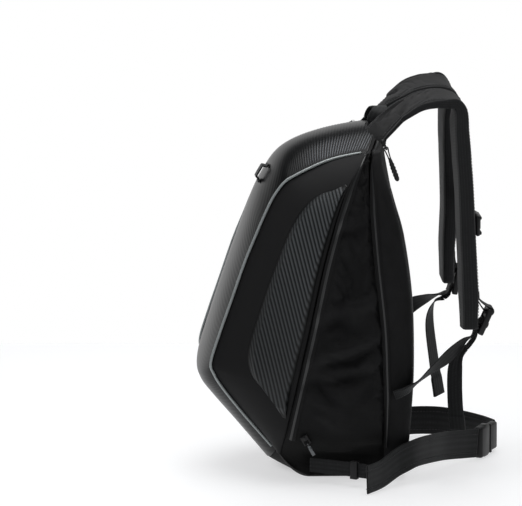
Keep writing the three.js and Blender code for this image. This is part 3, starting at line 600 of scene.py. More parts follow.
# Reflective tape: glass beads in silver-grey film over the cord, grainy.
tree, end_finish = start_finish("silver_reflective_tape")
BEAD_MM = 1.1
tape_cut = add_node(tree, "ShaderNodeUVMap", uv_map="cut")
beads = add_node(tree, "ShaderNodeTexNoise", {
    "Vector": tape_cut.outputs["UV"], "Scale": 1 / (BEAD_MM * MM), "Detail": 2.0})
bead_colour = add_node(tree, "ShaderNodeValToRGB", {"Fac": beads.outputs["Fac"]})
bead_colour.color_ramp.elements[0].color = linear("#6f7374")
bead_colour.color_ramp.elements[1].color = linear("#aab0b0")
bead_bump = add_node(tree, "ShaderNodeBump", {
    "Height": beads.outputs["Fac"], "Strength": 0.2, "Distance": 0.2 * MM})
reflective_tape = end_finish(
    base_color=bead_colour.outputs["Color"], roughness=0.5, metallic=0.35, normal=bead_bump.outputs["Normal"])

for name, side in SIDES:
    places = []
    for i in range(PIPING_ROWS + 1):
        at = mix(PIPING_FROM, PIPING_TO, i / PIPING_ROWS)
        lift = mix(PIPING_END_LIFT, PIPING_LIFT, ease(at, PIPING_FROM, PIPING_END))
        places.append(off_surface(shell_point, at, side * CREASE, lift))
    cord_section = oval_section(2 * PIPING_RADIUS, 2 * PIPING_RADIUS, ROUND)
    shape = lay_strip(flat_route(places), SIDEWAYS, steps=240, around=12, section=cord_section)
    add_piece(f"piping_cord_{name}", shape, (reflective_tape,), (f"piping_{name}",))

# Light loop
# A short strip of webbing on the shell's upper front, sewn down at both ends, that takes the clip of a
# small lamp.
LOOP_WIDE = 16
LOOP_THICK = 2.4
WEB_SQUARE = 0.25
# How far its middle stands off the shell, by station.
LOOP_STANDS = table(("at", "stand"), (
    (5.66, 1),
    (5.75, 1.1),
    (5.8, 1.8),
    (5.83, 4.2),
    (5.86, 6.4),
    (5.93, 7.2),
    (6.45, 7.2),
    (6.52, 6.4),
    (6.55, 4.2),
    (6.58, 1.8),
    (6.63, 1.1),
    (6.72, 1),
))

# Nylon webbing: black ribs across the strip, woven from thick yarn, dull with a faint silky edge.
# The ribs are drawn about twice as wide as real ones, so that they show. WAVE_LENGTH is the length of one
# wave of the texture at scale 1.
tree, end_finish = start_finish("woven_nylon_webbing")
WAVE_LENGTH = math.pi / 10
RIB_MM = 2.2
YARN_MM = 1.4
FUZZ_MM = 9
web_cut = add_node(tree, "ShaderNodeUVMap", uv_map="cut")
web_ribs = add_node(tree, "ShaderNodeTexWave", {
    "Vector": web_cut.outputs["UV"], "Scale": WAVE_LENGTH / (RIB_MM * MM), "Distortion": 0.4})
web_yarns = add_node(tree, "ShaderNodeTexWave", {
    "Vector": web_cut.outputs["UV"], "Scale": WAVE_LENGTH / (YARN_MM * MM), "Distortion": 0.3},
    bands_direction="Y")
web_weave = add_node(tree, "ShaderNodeMath", {
    0: web_ribs.outputs["Fac"], 1: web_yarns.outputs["Fac"]}, operation="MULTIPLY")
web_fuzz = add_node(tree, "ShaderNodeTexNoise", {
    "Vector": web_cut.outputs["UV"], "Scale": 1 / (FUZZ_MM * MM), "Detail": 3.0})
web_light = add_node(tree, "ShaderNodeMath", {
    0: web_weave.outputs["Value"], 1: web_fuzz.outputs["Fac"]}, operation="MULTIPLY")
web_colour = add_node(tree, "ShaderNodeValToRGB", {"Fac": web_light.outputs["Value"]})
web_colour.color_ramp.elements[0].color = linear("#0f1011")
web_colour.color_ramp.elements[1].color = linear("#2c2d2f")
web_bump = add_node(tree, "ShaderNodeBump", {
    "Height": web_weave.outputs["Value"], "Strength": 0.5, "Distance": 0.4 * MM})
nylon_webbing = end_finish(
    base_color=web_colour.outputs["Color"], roughness=0.75, specular_ior_level=0.25, sheen_weight=0.1,
    normal=web_bump.outputs["Normal"])

loop_rows = flat_route(off_surface(shell_point, row["at"], 0, row["stand"]) for row in LOOP_STANDS)
loop_section = oval_section(LOOP_WIDE, LOOP_THICK, WEB_SQUARE)
shape = lay_strip(loop_rows, SIDEWAYS, steps=110, around=24, section=loop_section)
add_piece("lamp_loop", shape, (nylon_webbing,), ("light_loop",))

# Expansion gusset
# A wall of coated polyester between the shell's rim and the rear body, let out at the base. It is sewn in
# along both edges, hangs a little slack, and lies flat on the floor underneath.
SIDE_STEPS = 22
TOP_STEPS = 16
LOOP_STEPS = 2 * (SIDE_STEPS + TOP_STEPS)
GUSSET_ROWS = 4 * LOOP_STEPS
GUSSET_COLUMNS = 28
LEVEL_SEAM = 90
SEAM_FOOT = 9
TOP_RISE = 6
TOP_RISE_FROM = 40
FLAT_SHARE = 0.45
TOP_ZIP_WIDE = 7
TOP_ZIP_RISE = 3
FLOOR_SHARE = 0.3
LEVEL_FROM = (60, 130)
RIM_GAP = 2.4
SEAM_TUCK = 1.2
# Soft folds across the side: the height of each at the rear body and at the shell, its depth and half height.
FOLDS = table(("rear", "front", "deep", "tall"), (
    (372, 360, 3, 9),
    (256, 230, 5, 10),
    (206, 164, 9, 11),
    (170, 150, 7, 8),
))
# Its slack: how far it hangs in, its waves, the heights between which it hangs, and the dip at the seam.
SLACK = 9
WAVE_DEEP = 4
WAVES_ACROSS = 1.5
WAVE_TALL = 190
SLACK_FROM = (50, 170)
SLACK_TO = (300, 430)
SEAM_DIP = 6
SEAM_DIP_SHARES = (0.9, 0.98)
BASE_TUCK = 18
BASE_TUCK_HEIGHTS = (10, 32, 66)
GUSSET_CUT = (1.55, 0.14)
GUSSET_SPARE = 0.06
GUSSET_WEIGHT = 0.5
GUSSET_CAP = 8
SETTLE_FRAMES = 20
FLOOR_REST = 6
TAPE_SHARE = 0.22
# Heights over which the painted shade at the gusset's base fades out.
BASE_SHADE_HEIGHTS = (58, 82)


def seam_point(at, side):
    """The seam at the rear body that lies opposite a station of the shell's rim."""
    rim = look_up(SHELL_STATIONS, "at", at, "rz")
    foot = SHELL_STATIONS[-1]["rz"]
    crown = SHELL_STATIONS[0]["rz"]
    z = rim
    if rim < LEVEL_SEAM:
        z = mix(SEAM_FOOT, LEVEL_SEAM, (rim - foot) / (LEVEL_SEAM - foot))
    z += TOP_RISE * ease(rim, crown - TOP_RISE_FROM, crown)
    return Vector((side * look_up(SIDE_HEIGHTS, "z", z, "seamX"), look_up(SIDE_HEIGHTS, "z", z, "seamY"), z))


def flat_then_up(share):
    return max(0, (share - FLAT_SHARE) / (1 - FLAT_SHARE)) ** 2


def seam_rib(at, across):
    """The seam over the top (at 0) and along the base (at the last station), from side to side."""
    far = abs(across)
    side = -1 if across < 0 else 1
    corner = seam_point(at, side)
    rim = shell_point(at, across)
    rim_corner = rim_point(at, side)
    x = rim.x * corner.x / rim_corner.x
    if at > 0:
        return Vector((x, corner.y, corner.z * flat_then_up(far)))
    y = rim.y + mix(TOP_ZIP_WIDE, corner.y - rim_corner.y, far * far)
    return Vector((x, y, rim.z + mix(TOP_ZIP_RISE, corner.z - rim_corner.z, far * far)))


def loop_place(step):
    """Station and share across at a step around the opening: right side down, base, left side up, top."""
    k = step % LOOP_STEPS
    if k < SIDE_STEPS:
        return LAST_STATION * k / SIDE_STEPS, 1
    if k < SIDE_STEPS + TOP_STEPS:
        return LAST_STATION, 1 - 2 * (k - SIDE_STEPS) / TOP_STEPS
    if k < 2 * SIDE_STEPS + TOP_STEPS:
        return LAST_STATION * (1 - (k - SIDE_STEPS - TOP_STEPS) / SIDE_STEPS), -1
    return 0, -1 + 2 * (k - 2 * SIDE_STEPS - TOP_STEPS) / TOP_STEPS


def gusset_point(step, t):
    """The gusset's outside, from the shell's rim (t 0) to the seam at the rear body (t 1)."""
    at, across = loop_place(step)
    on_side = abs(across) == 1
    rim = shell_point(at, across)
    seam = seam_point(at, across) if on_side else seam_rib(at, across)
    point = rim.lerp(seam, t)
    low = 1 if at == LAST_STATION else 1 - ease(rim.z, *LEVEL_FROM)
    fall = max(0, 1 - t / FLOOR_SHARE) ** 2
    point.z = mix(point.z, mix(seam.z, rim.z, fall), low)
    if on_side:
        slack = ease(point.z, *SLACK_FROM) * (1 - ease(point.z, *SLACK_TO)) * math.sin(math.pi * t) ** 2
        waves = WAVE_DEEP * math.sin(2 * math.pi * (WAVES_ACROSS * t - point.z / WAVE_TALL))
        inwards = slack * (SLACK + waves)
        for row in FOLDS:
            up = (point.z - mix(row["front"], row["rear"], t)) / row["tall"]
            inwards -= row["deep"] * math.sin(math.pi * t) * up * math.exp((1 - up * up) / 2)
        lowest, middle, highest = BASE_TUCK_HEIGHTS
        tuck = ease(point.z, lowest, middle) * (1 - ease(point.z, middle, highest))
        inwards += BASE_TUCK * tuck * math.sin(math.pi * t) + SEAM_DIP * ease(t, *SEAM_DIP_SHARES)
        point.x -= across * inwards
    return point


# Coated polyester: a close plain weave of matte black yarn, a little dusty in patches, and darkened to black
# towards the base of the gusset as painted shade. The threads are drawn about three times as wide as real
# ones, so that they show.
tree, end_finish = start_finish("coated_polyester_cloth")
THREAD_WIDE_MM = 1.8
CLOUD_MM = 45
cloth_cut = add_node(tree, "ShaderNodeUVMap", uv_map="cut")
warp = add_node(tree, "ShaderNodeTexWave", {
    "Vector": cloth_cut.outputs["UV"], "Scale": WAVE_LENGTH / (THREAD_WIDE_MM * MM), "Distortion": 0.5})
weft = add_node(tree, "ShaderNodeTexWave", {
    "Vector": cloth_cut.outputs["UV"], "Scale": WAVE_LENGTH / (THREAD_WIDE_MM * MM), "Distortion": 0.5},
    bands_direction="Y")
plain_weave = add_node(tree, "ShaderNodeMath", {
    0: warp.outputs["Fac"], 1: weft.outputs["Fac"]}, operation="MULTIPLY")
clouds = add_node(tree, "ShaderNodeTexNoise", {
    "Vector": cloth_cut.outputs["UV"], "Scale": 1 / (CLOUD_MM * MM), "Detail": 4.0})
cloth_colour = add_node(tree, "ShaderNodeValToRGB", {"Fac": clouds.outputs["Fac"]})
cloth_colour.color_ramp.elements[0].position = 0.3
cloth_colour.color_ramp.elements[0].color = linear("#0e0e0f")
cloth_colour.color_ramp.elements[1].position = 0.7
cloth_colour.color_ramp.elements[1].color = linear("#171718")
weave_bump = add_node(tree, "ShaderNodeBump", {
    "Height": plain_weave.outputs["Value"], "Strength": 0.3, "Distance": 0.3 * MM})
# Painted shade towards the base, read from the attribute set on the gusset.
painted_base_shade = add_node(tree, "ShaderNodeAttribute", attribute_name="painted_base_shade")
cloth_with_base_shade = add_node(tree, "ShaderNodeMixRGB", {
    "Fac": painted_base_shade.outputs["Fac"], "Color1": cloth_colour.outputs["Color"], "Color2": linear("#030303")})
polyester_cloth = end_finish(
    base_color=cloth_with_base_shade.outputs["Color"], roughness=0.8, specular_ior_level=0.18, sheen_weight=0.04,
    sheen_roughness=0.5, normal=weave_bump.outputs["Normal"])


def gusset_cloth(u, v):
    here = gusset_point(u * LOOP_STEPS, v)
    width = (gusset_point(u * LOOP_STEPS, 1) - gusset_point(u * LOOP_STEPS, 0)).normalized()
    return here + width * (RIM_GAP * (1 - v) + SEAM_TUCK * v)


def settle(piece, sewn, cap, pressure=0, spare=0, weight=0):
    """Lets a piece swell or crumple as cloth where it isn't sewn down; no point moves further than the cap.
    Spare is the share by which the cloth was cut larger than the space it fills."""
    group = piece.vertex_groups.new(name="sewn")
    group.add(list(sewn), 1, "REPLACE")
    cloth = piece.modifiers.new("cloth", "CLOTH")
    cloth.settings.vertex_group_mass = "sewn"
    cloth.settings.use_pressure = pressure > 0
    cloth.settings.uniform_pressure_force = pressure
    cloth.settings.shrink_min = -spare
    cloth.settings.effector_weights.gravity = weight
    for step in range(1, SETTLE_FRAMES + 1):
        bpy.context.scene.frame_set(step)
    settled = piece.evaluated_get(bpy.context.evaluated_depsgraph_get()).to_mesh()
    for point, moved in zip(piece.data.vertices, [Vector(point.co) for point in settled.vertices]):
        move = moved - point.co
        if move.length > cap * MM:
            move *= cap * MM / move.length
        point.co += move
    piece.modifiers.remove(cloth)
    piece.vertex_groups.remove(group)
    bpy.context.scene.frame_set(1)


shape = cloth_grid(GUSSET_ROWS, GUSSET_COLUMNS, gusset_cloth, GUSSET_CUT, closed=True)
# Painted shade: the cloth's colour runs to black towards the base, where it turns under away from the light.
base_shade_layer = shape.verts.layers.float.new("painted_base_shade")
for point in shape.verts:
    point[base_shade_layer] = 1 - ease(point.co.z / MM, *BASE_SHADE_HEIGHTS)
cut_map = shape.loops.layers.uv.active
sewn = {point.index for point in shape.verts if point.is_boundary or point.co.z < FLOOR_REST * MM}
for face in shape.faces:
    for corner in face.loops:
        if corner[cut_map].uv.y < TAPE_SHARE * GUSSET_CUT[1]:
            sewn.add(corner.vert.index)
gusset = add_piece("gusset_cloth", shape, (polyester_cloth,), ("expansion_gusset",))
settle(gusset, sewn, GUSSET_CAP, spare=GUSSET_SPARE, weight=GUSSET_WEIGHT)

# Zip along the shell
# A woven tape behind the shell's rim, over both sides and the top, with a nylon coil down its middle. Its
# slider has come to the lower end on the right, where a small chromed tab hangs from it.
BAND_LOWEST = SIDE_STEPS - 1
BAND_STEPS = 2 * BAND_LOWEST + TOP_STEPS
BAND_LIFT = 2
BAND_INSET = 0.03
SHELL_ZIP_WIDE = 15
SHELL_ZIP_MOST = 0.42
TOOTH_MM = 2.4
TOOTH_GAP = 0.5
COIL_HEIGHT = 1.3
COIL_HALF = 0.2
COIL_SHARE = 0.15
BAND_TOP_LIFT = 0.6
COIL_START = (0.18, 0.22)
ZIP_LENGTH = 1240
ZIP_ROWS = 1500
ZIP_COLUMNS = 10
ZIP_EDGE = 1


def shell_zip_point(step, t):
    width = (gusset_point(step, 1) - gusset_point(step, 0)).length
    share = min(SHELL_ZIP_WIDE / width, SHELL_ZIP_MOST)
    return gusset_point(step, mix(BAND_INSET, share, t))


def coil_rise(u, v):
    """The coil stands up along the middle of the tape down each side, with a tooth every few millimetres.
    Over the top the tape lies flat."""
    down = ease(abs(u - 0.5), *COIL_START)
    near = down * max(0, 1 - ((v - 0.5) / COIL_HALF) ** 2)
    tooth = mix(TOOTH_GAP, 1, wave(u * ZIP_LENGTH / TOOTH_MM))
    return mix(BAND_TOP_LIFT, BAND_LIFT, down) + COIL_HEIGHT * math.sqrt(near) * tooth


# Zip tape: woven polyester, black, matte and a little fuzzy.
tree, end_finish = start_finish("woven_zip_tape")
TAPE_FUZZ_MM = 2
zip_cut = add_node(tree, "ShaderNodeUVMap", uv_map="cut")
zip_fuzz = add_node(tree, "ShaderNodeTexNoise", {
    "Vector": zip_cut.outputs["UV"], "Scale": 1 / (TAPE_FUZZ_MM * MM), "Detail": 2.0})
zip_colour = add_node(tree, "ShaderNodeValToRGB", {"Fac": zip_fuzz.outputs["Fac"]})
zip_colour.color_ramp.elements[0].color = linear("#09090a")
zip_colour.color_ramp.elements[1].color = linear("#171718")
zip_bump = add_node(tree, "ShaderNodeBump", {
    "Height": zip_fuzz.outputs["Fac"], "Strength": 0.2, "Distance": 0.2 * MM})
zip_tape = end_finish(
    base_color=zip_colour.outputs["Color"], roughness=0.75, specular_ior_level=0.2,
    normal=zip_bump.outputs["Normal"])

# The coil itself: drawn nylon, smooth and shinier than the tape.
tree, end_finish = start_finish("drawn_nylon_coil")
COIL_WEAR_MM = 30
coil_cut = add_node(tree, "ShaderNodeUVMap", uv_map="cut")
coil_wear = add_node(tree, "ShaderNodeTexNoise", {
    "Vector": coil_cut.outputs["UV"], "Scale": 1 / (COIL_WEAR_MM * MM), "Detail": 2.0})
coil_rough = add_node(tree, "ShaderNodeMapRange", {
    "Value": coil_wear.outputs["Fac"], "To Min": 0.3, "To Max": 0.45})
nylon_coil = end_finish(
    base_color=linear("#1b1c1d"), roughness=coil_rough.outputs["Result"], specular_ior_level=0.5)


def add_zip(name, place, wide, nodes):
    """A zip tape laid on place(step, t), with its coil along the middle."""
    shape = cloth_grid(
        ZIP_ROWS, ZIP_COLUMNS, lambda u, v: place(BAND_LOWEST - u * BAND_STEPS, v),
        (ZIP_LENGTH * MM, wide * MM), rise=coil_rise)
    part_faces(shape, wide * MM, lambda v: abs(v - 0.5) < COIL_SHARE)
    turn_in_edges(shape, ZIP_EDGE)
    add_piece(name, shape, (zip_tape, nylon_coil), nodes)


add_zip("shell_zip_tape", shell_zip_point, SHELL_ZIP_WIDE, ("shell_zip",))

# Zip sliders and their pulls
# Moulded acetal sliders, each with a bar across its lower end. A rubber grip hangs on a cord from the one at
# the top rear, and a chromed tab from the one at the lower front.
BAR = ("size", "middle", "rounding")
BAR_SEGMENTS = 3
# The middle of each slider's bar, the way down the slider, and the way it faces.
TOP_ZIP = ((97, 53, 461), (0, 0.34, -0.94), (0, 1, 0))
SIDE_ZIP = ((128.5, -58, 57), (-0.3, 0.46, -0.836), (1, 0, 0))
SLIDER_BARS = table(BAR, (
    ((10, 7.6, 3), (0, -10.2, 0), 0.8),
    ((2, 8, 3), (4, -3.2, 0), 0.7),
    ((2, 8, 3), (-4, -3.2, 0), 0.7),
    ((9, 1.8, 1.8), (0, 0, 0), 0.6),
    ((3, 6, 1.4), (0, -10, 2), 0.6),
))
TAB_HANG = 17.5
RING_RADIUS = 2.75
RING_WIRE = 0.6
TAB_BARS = table(BAR, (
    ((4.2, 3.4, 1.6), (0, 4.6, 0), 0.5),
    ((5, 13.4, 2.2), (0, 12.2, 0), 0.7),
))
CORD_WIDE = 2.2
CORD_THICK = 1.8
# Up one side of the cord's loop, round the slider's bar and down again.
CORD_LOOP = table(("y", "z"), (
    (19, 1.2),
    (12, 1.3),
    (4, 2.0),
    (0, 2.75),
    (-2.1, 1.9),
    (-2.75, 0),
    (-2.1, -1.9),
    (0, -2.75),
    (4, -2.0),
    (12, -1.3),
    (19, -1.2),
))
GRIP_ROUTE = table(("y", "z"), ((13.6, 0), (22, 0), (31, 0), (40, 0), (48, 0)))
GRIP_WIDE = 7
GRIP_THICK = 6.8
GRIP_SQUARE = 0.6
GRIP_NECK = 0.75
GRIP_NECK_END = 0.5
GRIP_TIP = 0.08
GRIP_POWER = 8
GRIP_RIBS = 7
GRIP_RIB_DEEP = 1 / 9
GRIP_RIB_START = (0.1, 0.3)


def zip_frame(place, down, facing, hang=0):
    """The local frame of a slider in metres: X along its bar, Y down the slider, Z away from the pack."""
    down = Vector(down).normalized()
    out = (Vector(facing) - down * down.dot(Vector(facing))).normalized()
    bar = down.cross(out)
    turn = Matrix((bar, down, out)).transposed().to_4x4()
    return Matrix.Translation(Vector(place) * MM) @ turn @ Matrix.Rotation(math.radians(hang), 4, "X")


def add_bars(shape, local, rows):
    """Adds boxes with rounded edges, their sizes and middles in millimetres of the local frame."""
    for row in rows:
        scaled = Matrix.Diagonal([side * MM for side in row["size"]] + [1])
        placed = local @ Matrix.Translation(Vector(row["middle"]) * MM) @ scaled
        made = bmesh.ops.create_cube(shape, size=1, matrix=placed)
        edges = list(dict.fromkeys(edge for point in made["verts"] for edge in point.link_edges))
        bmesh.ops.bevel(
            shape, geom=edges, offset=row["rounding"] * MM, segments=BAR_SEGMENTS, profile=0.5,
            affect="EDGES", material=-1)


def in_frame(local, rows):
    """The rows of a route given by Y and Z in millimetres of a local frame."""
    return flat_route(local @ Vector((0, row["y"] * MM, row["z"] * MM)) / MM for row in rows)


def grip_section(u, v):
    """A flat grip that swells towards its end, with ribs across it for the fingers."""
    end = math.sqrt(max(GRIP_TIP, 1 - (2 * u - 1) ** GRIP_POWER))
    swell = mix(GRIP_NECK, 1, ease(u, 0, GRIP_NECK_END)) * end
    ribbed = ease(u, *GRIP_RIB_START) * ease(1 - u, *GRIP_RIB_START)
    over, out = oval_section(GRIP_WIDE, GRIP_THICK, GRIP_SQUARE)(u, v)
    return over * swell, out * (swell + GRIP_RIB_DEEP * math.cos(2 * math.pi * GRIP_RIBS * u) * ribbed)


# Moulded acetal: black plastic with a fine spark-eroded grain, rubbed lighter and duller in patches.
tree, end_finish = start_finish("moulded_black_acetal")
GRAIN_MM = 0.7
RUB_MM = 14
plastic_place = add_node(tree, "ShaderNodeTexCoord")
grain = add_node(tree, "ShaderNodeTexNoise", {
    "Vector": plastic_place.outputs["Object"], "Scale": 1 / (GRAIN_MM * MM), "Detail": 2.0})
grain_bump = add_node(tree, "ShaderNodeBump", {
    "Height": grain.outputs["Fac"], "Strength": 0.15, "Distance": 0.15 * MM})
rub = add_node(tree, "ShaderNodeTexNoise", {
    "Vector": plastic_place.outputs["Object"], "Scale": 1 / (RUB_MM * MM), "Detail": 3.0})
rub_colour = add_node(tree, "ShaderNodeValToRGB", {"Fac": rub.outputs["Fac"]})
rub_colour.color_ramp.elements[0].color = linear("#0c0c0d")
rub_colour.color_ramp.elements[1].color = linear("#1b1b1c")
rub_rough = add_node(tree, "ShaderNodeMapRange", {
    "Value": rub.outputs["Fac"], "To Min": 0.38, "To Max": 0.55})
acetal = end_finish(
    base_color=rub_colour.outputs["Color"], roughness=rub_rough.outputs["Result"], specular_ior_level=0.3,
    normal=grain_bump.outputs["Normal"])

# Chrome plate, dulled by handling: grey, with fine scuffs.
tree, end_finish = start_finish("chromed_zinc")
SCUFF_MM = 0.8
chrome_place = add_node(tree, "ShaderNodeTexCoord")
scuffs = add_node(tree, "ShaderNodeTexNoise", {
    "Vector": chrome_place.outputs["Object"], "Scale": 1 / (SCUFF_MM * MM), "Detail": 2.0})
chrome_rough = add_node(tree, "ShaderNodeMapRange", {
    "Value": scuffs.outputs["Fac"], "To Min": 0.18, "To Max": 0.34})
chrome = end_finish(
    base_color=linear("#5f6163"), metallic=1.0, roughness=chrome_rough.outputs["Result"])

# Soft rubber: dark grey, matte, with a dry skin.
tree, end_finish = start_finish("moulded_soft_rubber")
SKIN_MM = 1.2
rubber_place = add_node(tree, "ShaderNodeTexCoord")
rubber_skin = add_node(tree, "ShaderNodeTexNoise", {
    "Vector": rubber_place.outputs["Object"], "Scale": 1 / (SKIN_MM * MM), "Detail": 2.0})
rubber_colour = add_node(tree, "ShaderNodeValToRGB", {"Fac": rubber_skin.outputs["Fac"]})
rubber_colour.color_ramp.elements[0].color = linear("#1b1c1c")
rubber_colour.color_ramp.elements[1].color = linear("#2e2f2f")
rubber = end_finish(base_color=rubber_colour.outputs["Color"], roughness=0.7, specular_ior_level=0.3)

for name, zip_end in (("top", TOP_ZIP), ("side", SIDE_ZIP)):
    shape = bmesh.new()
    add_bars(shape, zip_frame(*zip_end), SLIDER_BARS)
    add_piece(f"{name}_slider_body", shape, (acetal,), (f"{name}_zip_slider",))

local = zip_frame(*SIDE_ZIP, hang=TAB_HANG)
shape = bmesh.new()
off_axis = Matrix.Translation((0, RING_RADIUS * MM, 0))
bmesh.ops.create_circle(shape, segments=10, radius=RING_WIRE * MM, matrix=off_axis)
bmesh.ops.spin(
    shape, geom=list(shape.edges), cent=(0, 0, 0), axis=(1, 0, 0), angle=2 * math.pi, steps=24,
    use_merge=True)
bmesh.ops.transform(shape, matrix=local, verts=shape.verts)
add_bars(shape, local, TAB_BARS)
bmesh.ops.recalc_face_normals(shape, faces=shape.faces)
add_piece("chrome_tab", shape, (chrome,), ("side_zip_tab",), "side_tab")

local = zip_frame(*TOP_ZIP)
cord_section = oval_section(CORD_WIDE, CORD_THICK, ROUND)
shape = lay_strip(in_frame(local, CORD_LOOP), SIDEWAYS, steps=60, around=8, section=cord_section)
add_piece("pull_cord", shape, (nylon_webbing,), body="top_pull")
shape = lay_strip(in_frame(local, GRIP_ROUTE), SIDEWAYS, steps=90, around=16, section=grip_section)
add_piece("pull_grip", shape, (rubber,), ("top_zip_pull",), "top_pull")

# Rear body
# The fabric tray behind the gusset, in the same coated polyester over foam. Its sides turn round a soft
# corner into the back.
CORNER_ROUND = 13
CORNER_INSET = 6
# From the middle of the back to the seam: the shares where the corner starts and where it ends in the wall.
BACK_END = 0.5
WALL_END = 0.75
REAR_GAPS = (3.4, 0.8)
REAR_GAP_STATIONS = (1, 4)
REAR_BASE = (LAST_STATION - 1.8, LAST_STATION - 0.8)
REAR_ROWS = 132
REAR_COLUMNS = 96
REAR_WALL = 3
REAR_CUT = (0.62, 0.46)
# By station: a point on the back's middle line (ky, kz) and one at its corner (by, bz).
REAR_STATIONS = table(("at", "ky", "kz", "by", "bz"), (
    (0.5, 58, 478, 45, 459),
    (1.5, 57, 460, 47, 440),
    (3, 62, 420, 57, 404),
    (5, 73, 350, 71, 348),
    (8, 85, 256, 85, 256),
    (11, 88, 163, 88, 163),
    (13, 87, 108, 87, 110),
    (14.5, 85, 50, 84, 60),
    (15.2, 83, 0, 81, 12),
))


def rear_gap(at):
    return mix(*REAR_GAPS, ease(at, *REAR_GAP_STATIONS))


def rear_point(at, across):
    """The rear body's outside: across is 0 on the back's middle and -1 or 1 at the seam with the gusset."""
    side = -1 if across < 0 else 1
    far = min(abs(across), 1)
    if at <= 0 or at >= LAST_STATION:
        rib = seam_rib(0 if at <= 0 else LAST_STATION, side * far)
        return rib + Vector((0, rear_gap(at), 0))
    seam = seam_point(at, side) + Vector((0, rear_gap(at), 0))
    corner_x = abs(seam.x) - CORNER_INSET
    corner_y = look_up(REAR_STATIONS, "at", at, "by")
    corner_z = look_up(REAR_STATIONS, "at", at, "bz")
    if far > WALL_END:
        wall_end = Vector((side * corner_x, corner_y - CORNER_ROUND, corner_z))
        return wall_end.lerp(seam, (far - WALL_END) / (1 - WALL_END))
    if far > BACK_END:
        turn = (far - BACK_END) / (WALL_END - BACK_END) * math.pi / 2
        return Vector((
            side * (corner_x - CORNER_ROUND * (1 - math.sin(turn))),
            corner_y - CORNER_ROUND * (1 - math.cos(turn)),
            corner_z,
        ))
    share = far / BACK_END
    near_base = ease(at, *REAR_BASE)
    rise = mix(share * share, flat_then_up(share), near_base)
    return Vector((
        side * (corner_x - CORNER_ROUND) * share,
        mix(look_up(REAR_STATIONS, "at", at, "ky"), corner_y, share * share),
        mix(look_up(REAR_STATIONS, "at", at, "kz"), corner_z, rise),
    ))


shape = cloth_grid(
    REAR_ROWS, REAR_COLUMNS, lambda u, v: rear_point(u * LAST_STATION, 2 * v - 1), REAR_CUT)
turn_in_edges(shape, REAR_WALL)
rear_body = add_piece("rear_body_cloth", shape, (polyester_cloth,), ("rear_body",))

# Zip along the rear body
# The same coil zip, narrower, along the seam between gusset and rear body. It closes the back compartment.
REAR_ZIP_WIDE = 9
REAR_ZIP_MOST = 0.6
TOP_ROW = 0.6


def rear_zip_point(step, t):
    at, across = loop_place(step)
    start = rear_point(at, across)
    behind = rear_point(at, across * WALL_END) if at > 0 else rear_point(TOP_ROW, across)
    share = min(REAR_ZIP_WIDE / (behind - start).length, REAR_ZIP_MOST)
    return start.lerp(behind, mix(BAND_INSET, share, t))


add_zip("rear_zip_tape", rear_zip_point, REAR_ZIP_WIDE, ("rear_zip",))

# Back panel
# A foam pad against the wearer's back, covered in open air mesh and sewn down along its edge and one
# channel up the middle, so that each half is crowned.
PAD_TOP = 3.6
PAD_BOTTOM = 14.1
PAD_HALF = 0.4
PAD_LIFT = 1.6
PAD_ROWS = 110
PAD_COLUMNS = 64
PAD_CUT = (0.38, 0.21)
PAD_CROWN = 4.5
PAD_POWER = 8
PAD_TOP_END = 0.16
PAD_TOP_LIFT = 0.4
CHANNEL = (0.02, 0.16)
CHANNEL_CROWN = 0.15
CHANNEL_HALF = 3
PAD_PRESSURE = 4
PAD_CAP = 5


def pad_rise(u, v):
    """The foam is thin at its sewn edge and along the channel up the middle."""
    top = ease(u, 0, PAD_TOP_END)
    ends = max(0, 1 - (2 * u - 1) ** PAD_POWER)
    edge = top * math.sqrt(ends * max(0, 1 - (2 * v - 1) ** PAD_POWER))
    channel = ease(abs(2 * v - 1), *CHANNEL)
    return PAD_LIFT * mix(PAD_TOP_LIFT, 1, top) + PAD_CROWN * edge * mix(CHANNEL_CROWN, 1, channel)


# Air mesh: a knitted spacer with small round openings in rows, soft and matte.
tree, end_finish = start_finish("knitted_air_mesh")
OPENING_MM = 4
mesh_cut = add_node(tree, "ShaderNodeUVMap", uv_map="cut")
openings = add_node(tree, "ShaderNodeTexVoronoi", {
    "Vector": mesh_cut.outputs["UV"], "Scale": 1 / (OPENING_MM * MM), "Randomness": 0.15})
mesh_colour = add_node(tree, "ShaderNodeValToRGB", {"Fac": openings.outputs["Distance"]})
mesh_colour.color_ramp.elements[0].position = 0.2
mesh_colour.color_ramp.elements[0].color = linear("#0a0a0b")
mesh_colour.color_ramp.elements[1].position = 0.4
mesh_colour.color_ramp.elements[1].color = linear("#242526")
mesh_bump = add_node(tree, "ShaderNodeBump", {
    "Height": mesh_colour.outputs["Color"], "Strength": 0.6, "Distance": 0.8 * MM})
air_mesh = end_finish(
    base_color=mesh_colour.outputs["Color"], roughness=0.85, specular_ior_level=0.2, sheen_weight=0.1,
    normal=mesh_bump.outputs["Normal"])

shape = cloth_grid(
    PAD_ROWS, PAD_COLUMNS,
    lambda u, v: rear_point(mix(PAD_TOP, PAD_BOTTOM, u), mix(-PAD_HALF, PAD_HALF, v)),
    PAD_CUT, rise=pad_rise)
sewn = [point.index for point in shape.verts if point.is_boundary or abs(point.co.x) < CHANNEL_HALF * MM]
back_pad = add_piece("back_pad", shape, (air_mesh,), ("back_panel",))
settle(back_pad, sewn, PAD_CAP, pressure=PAD_PRESSURE)

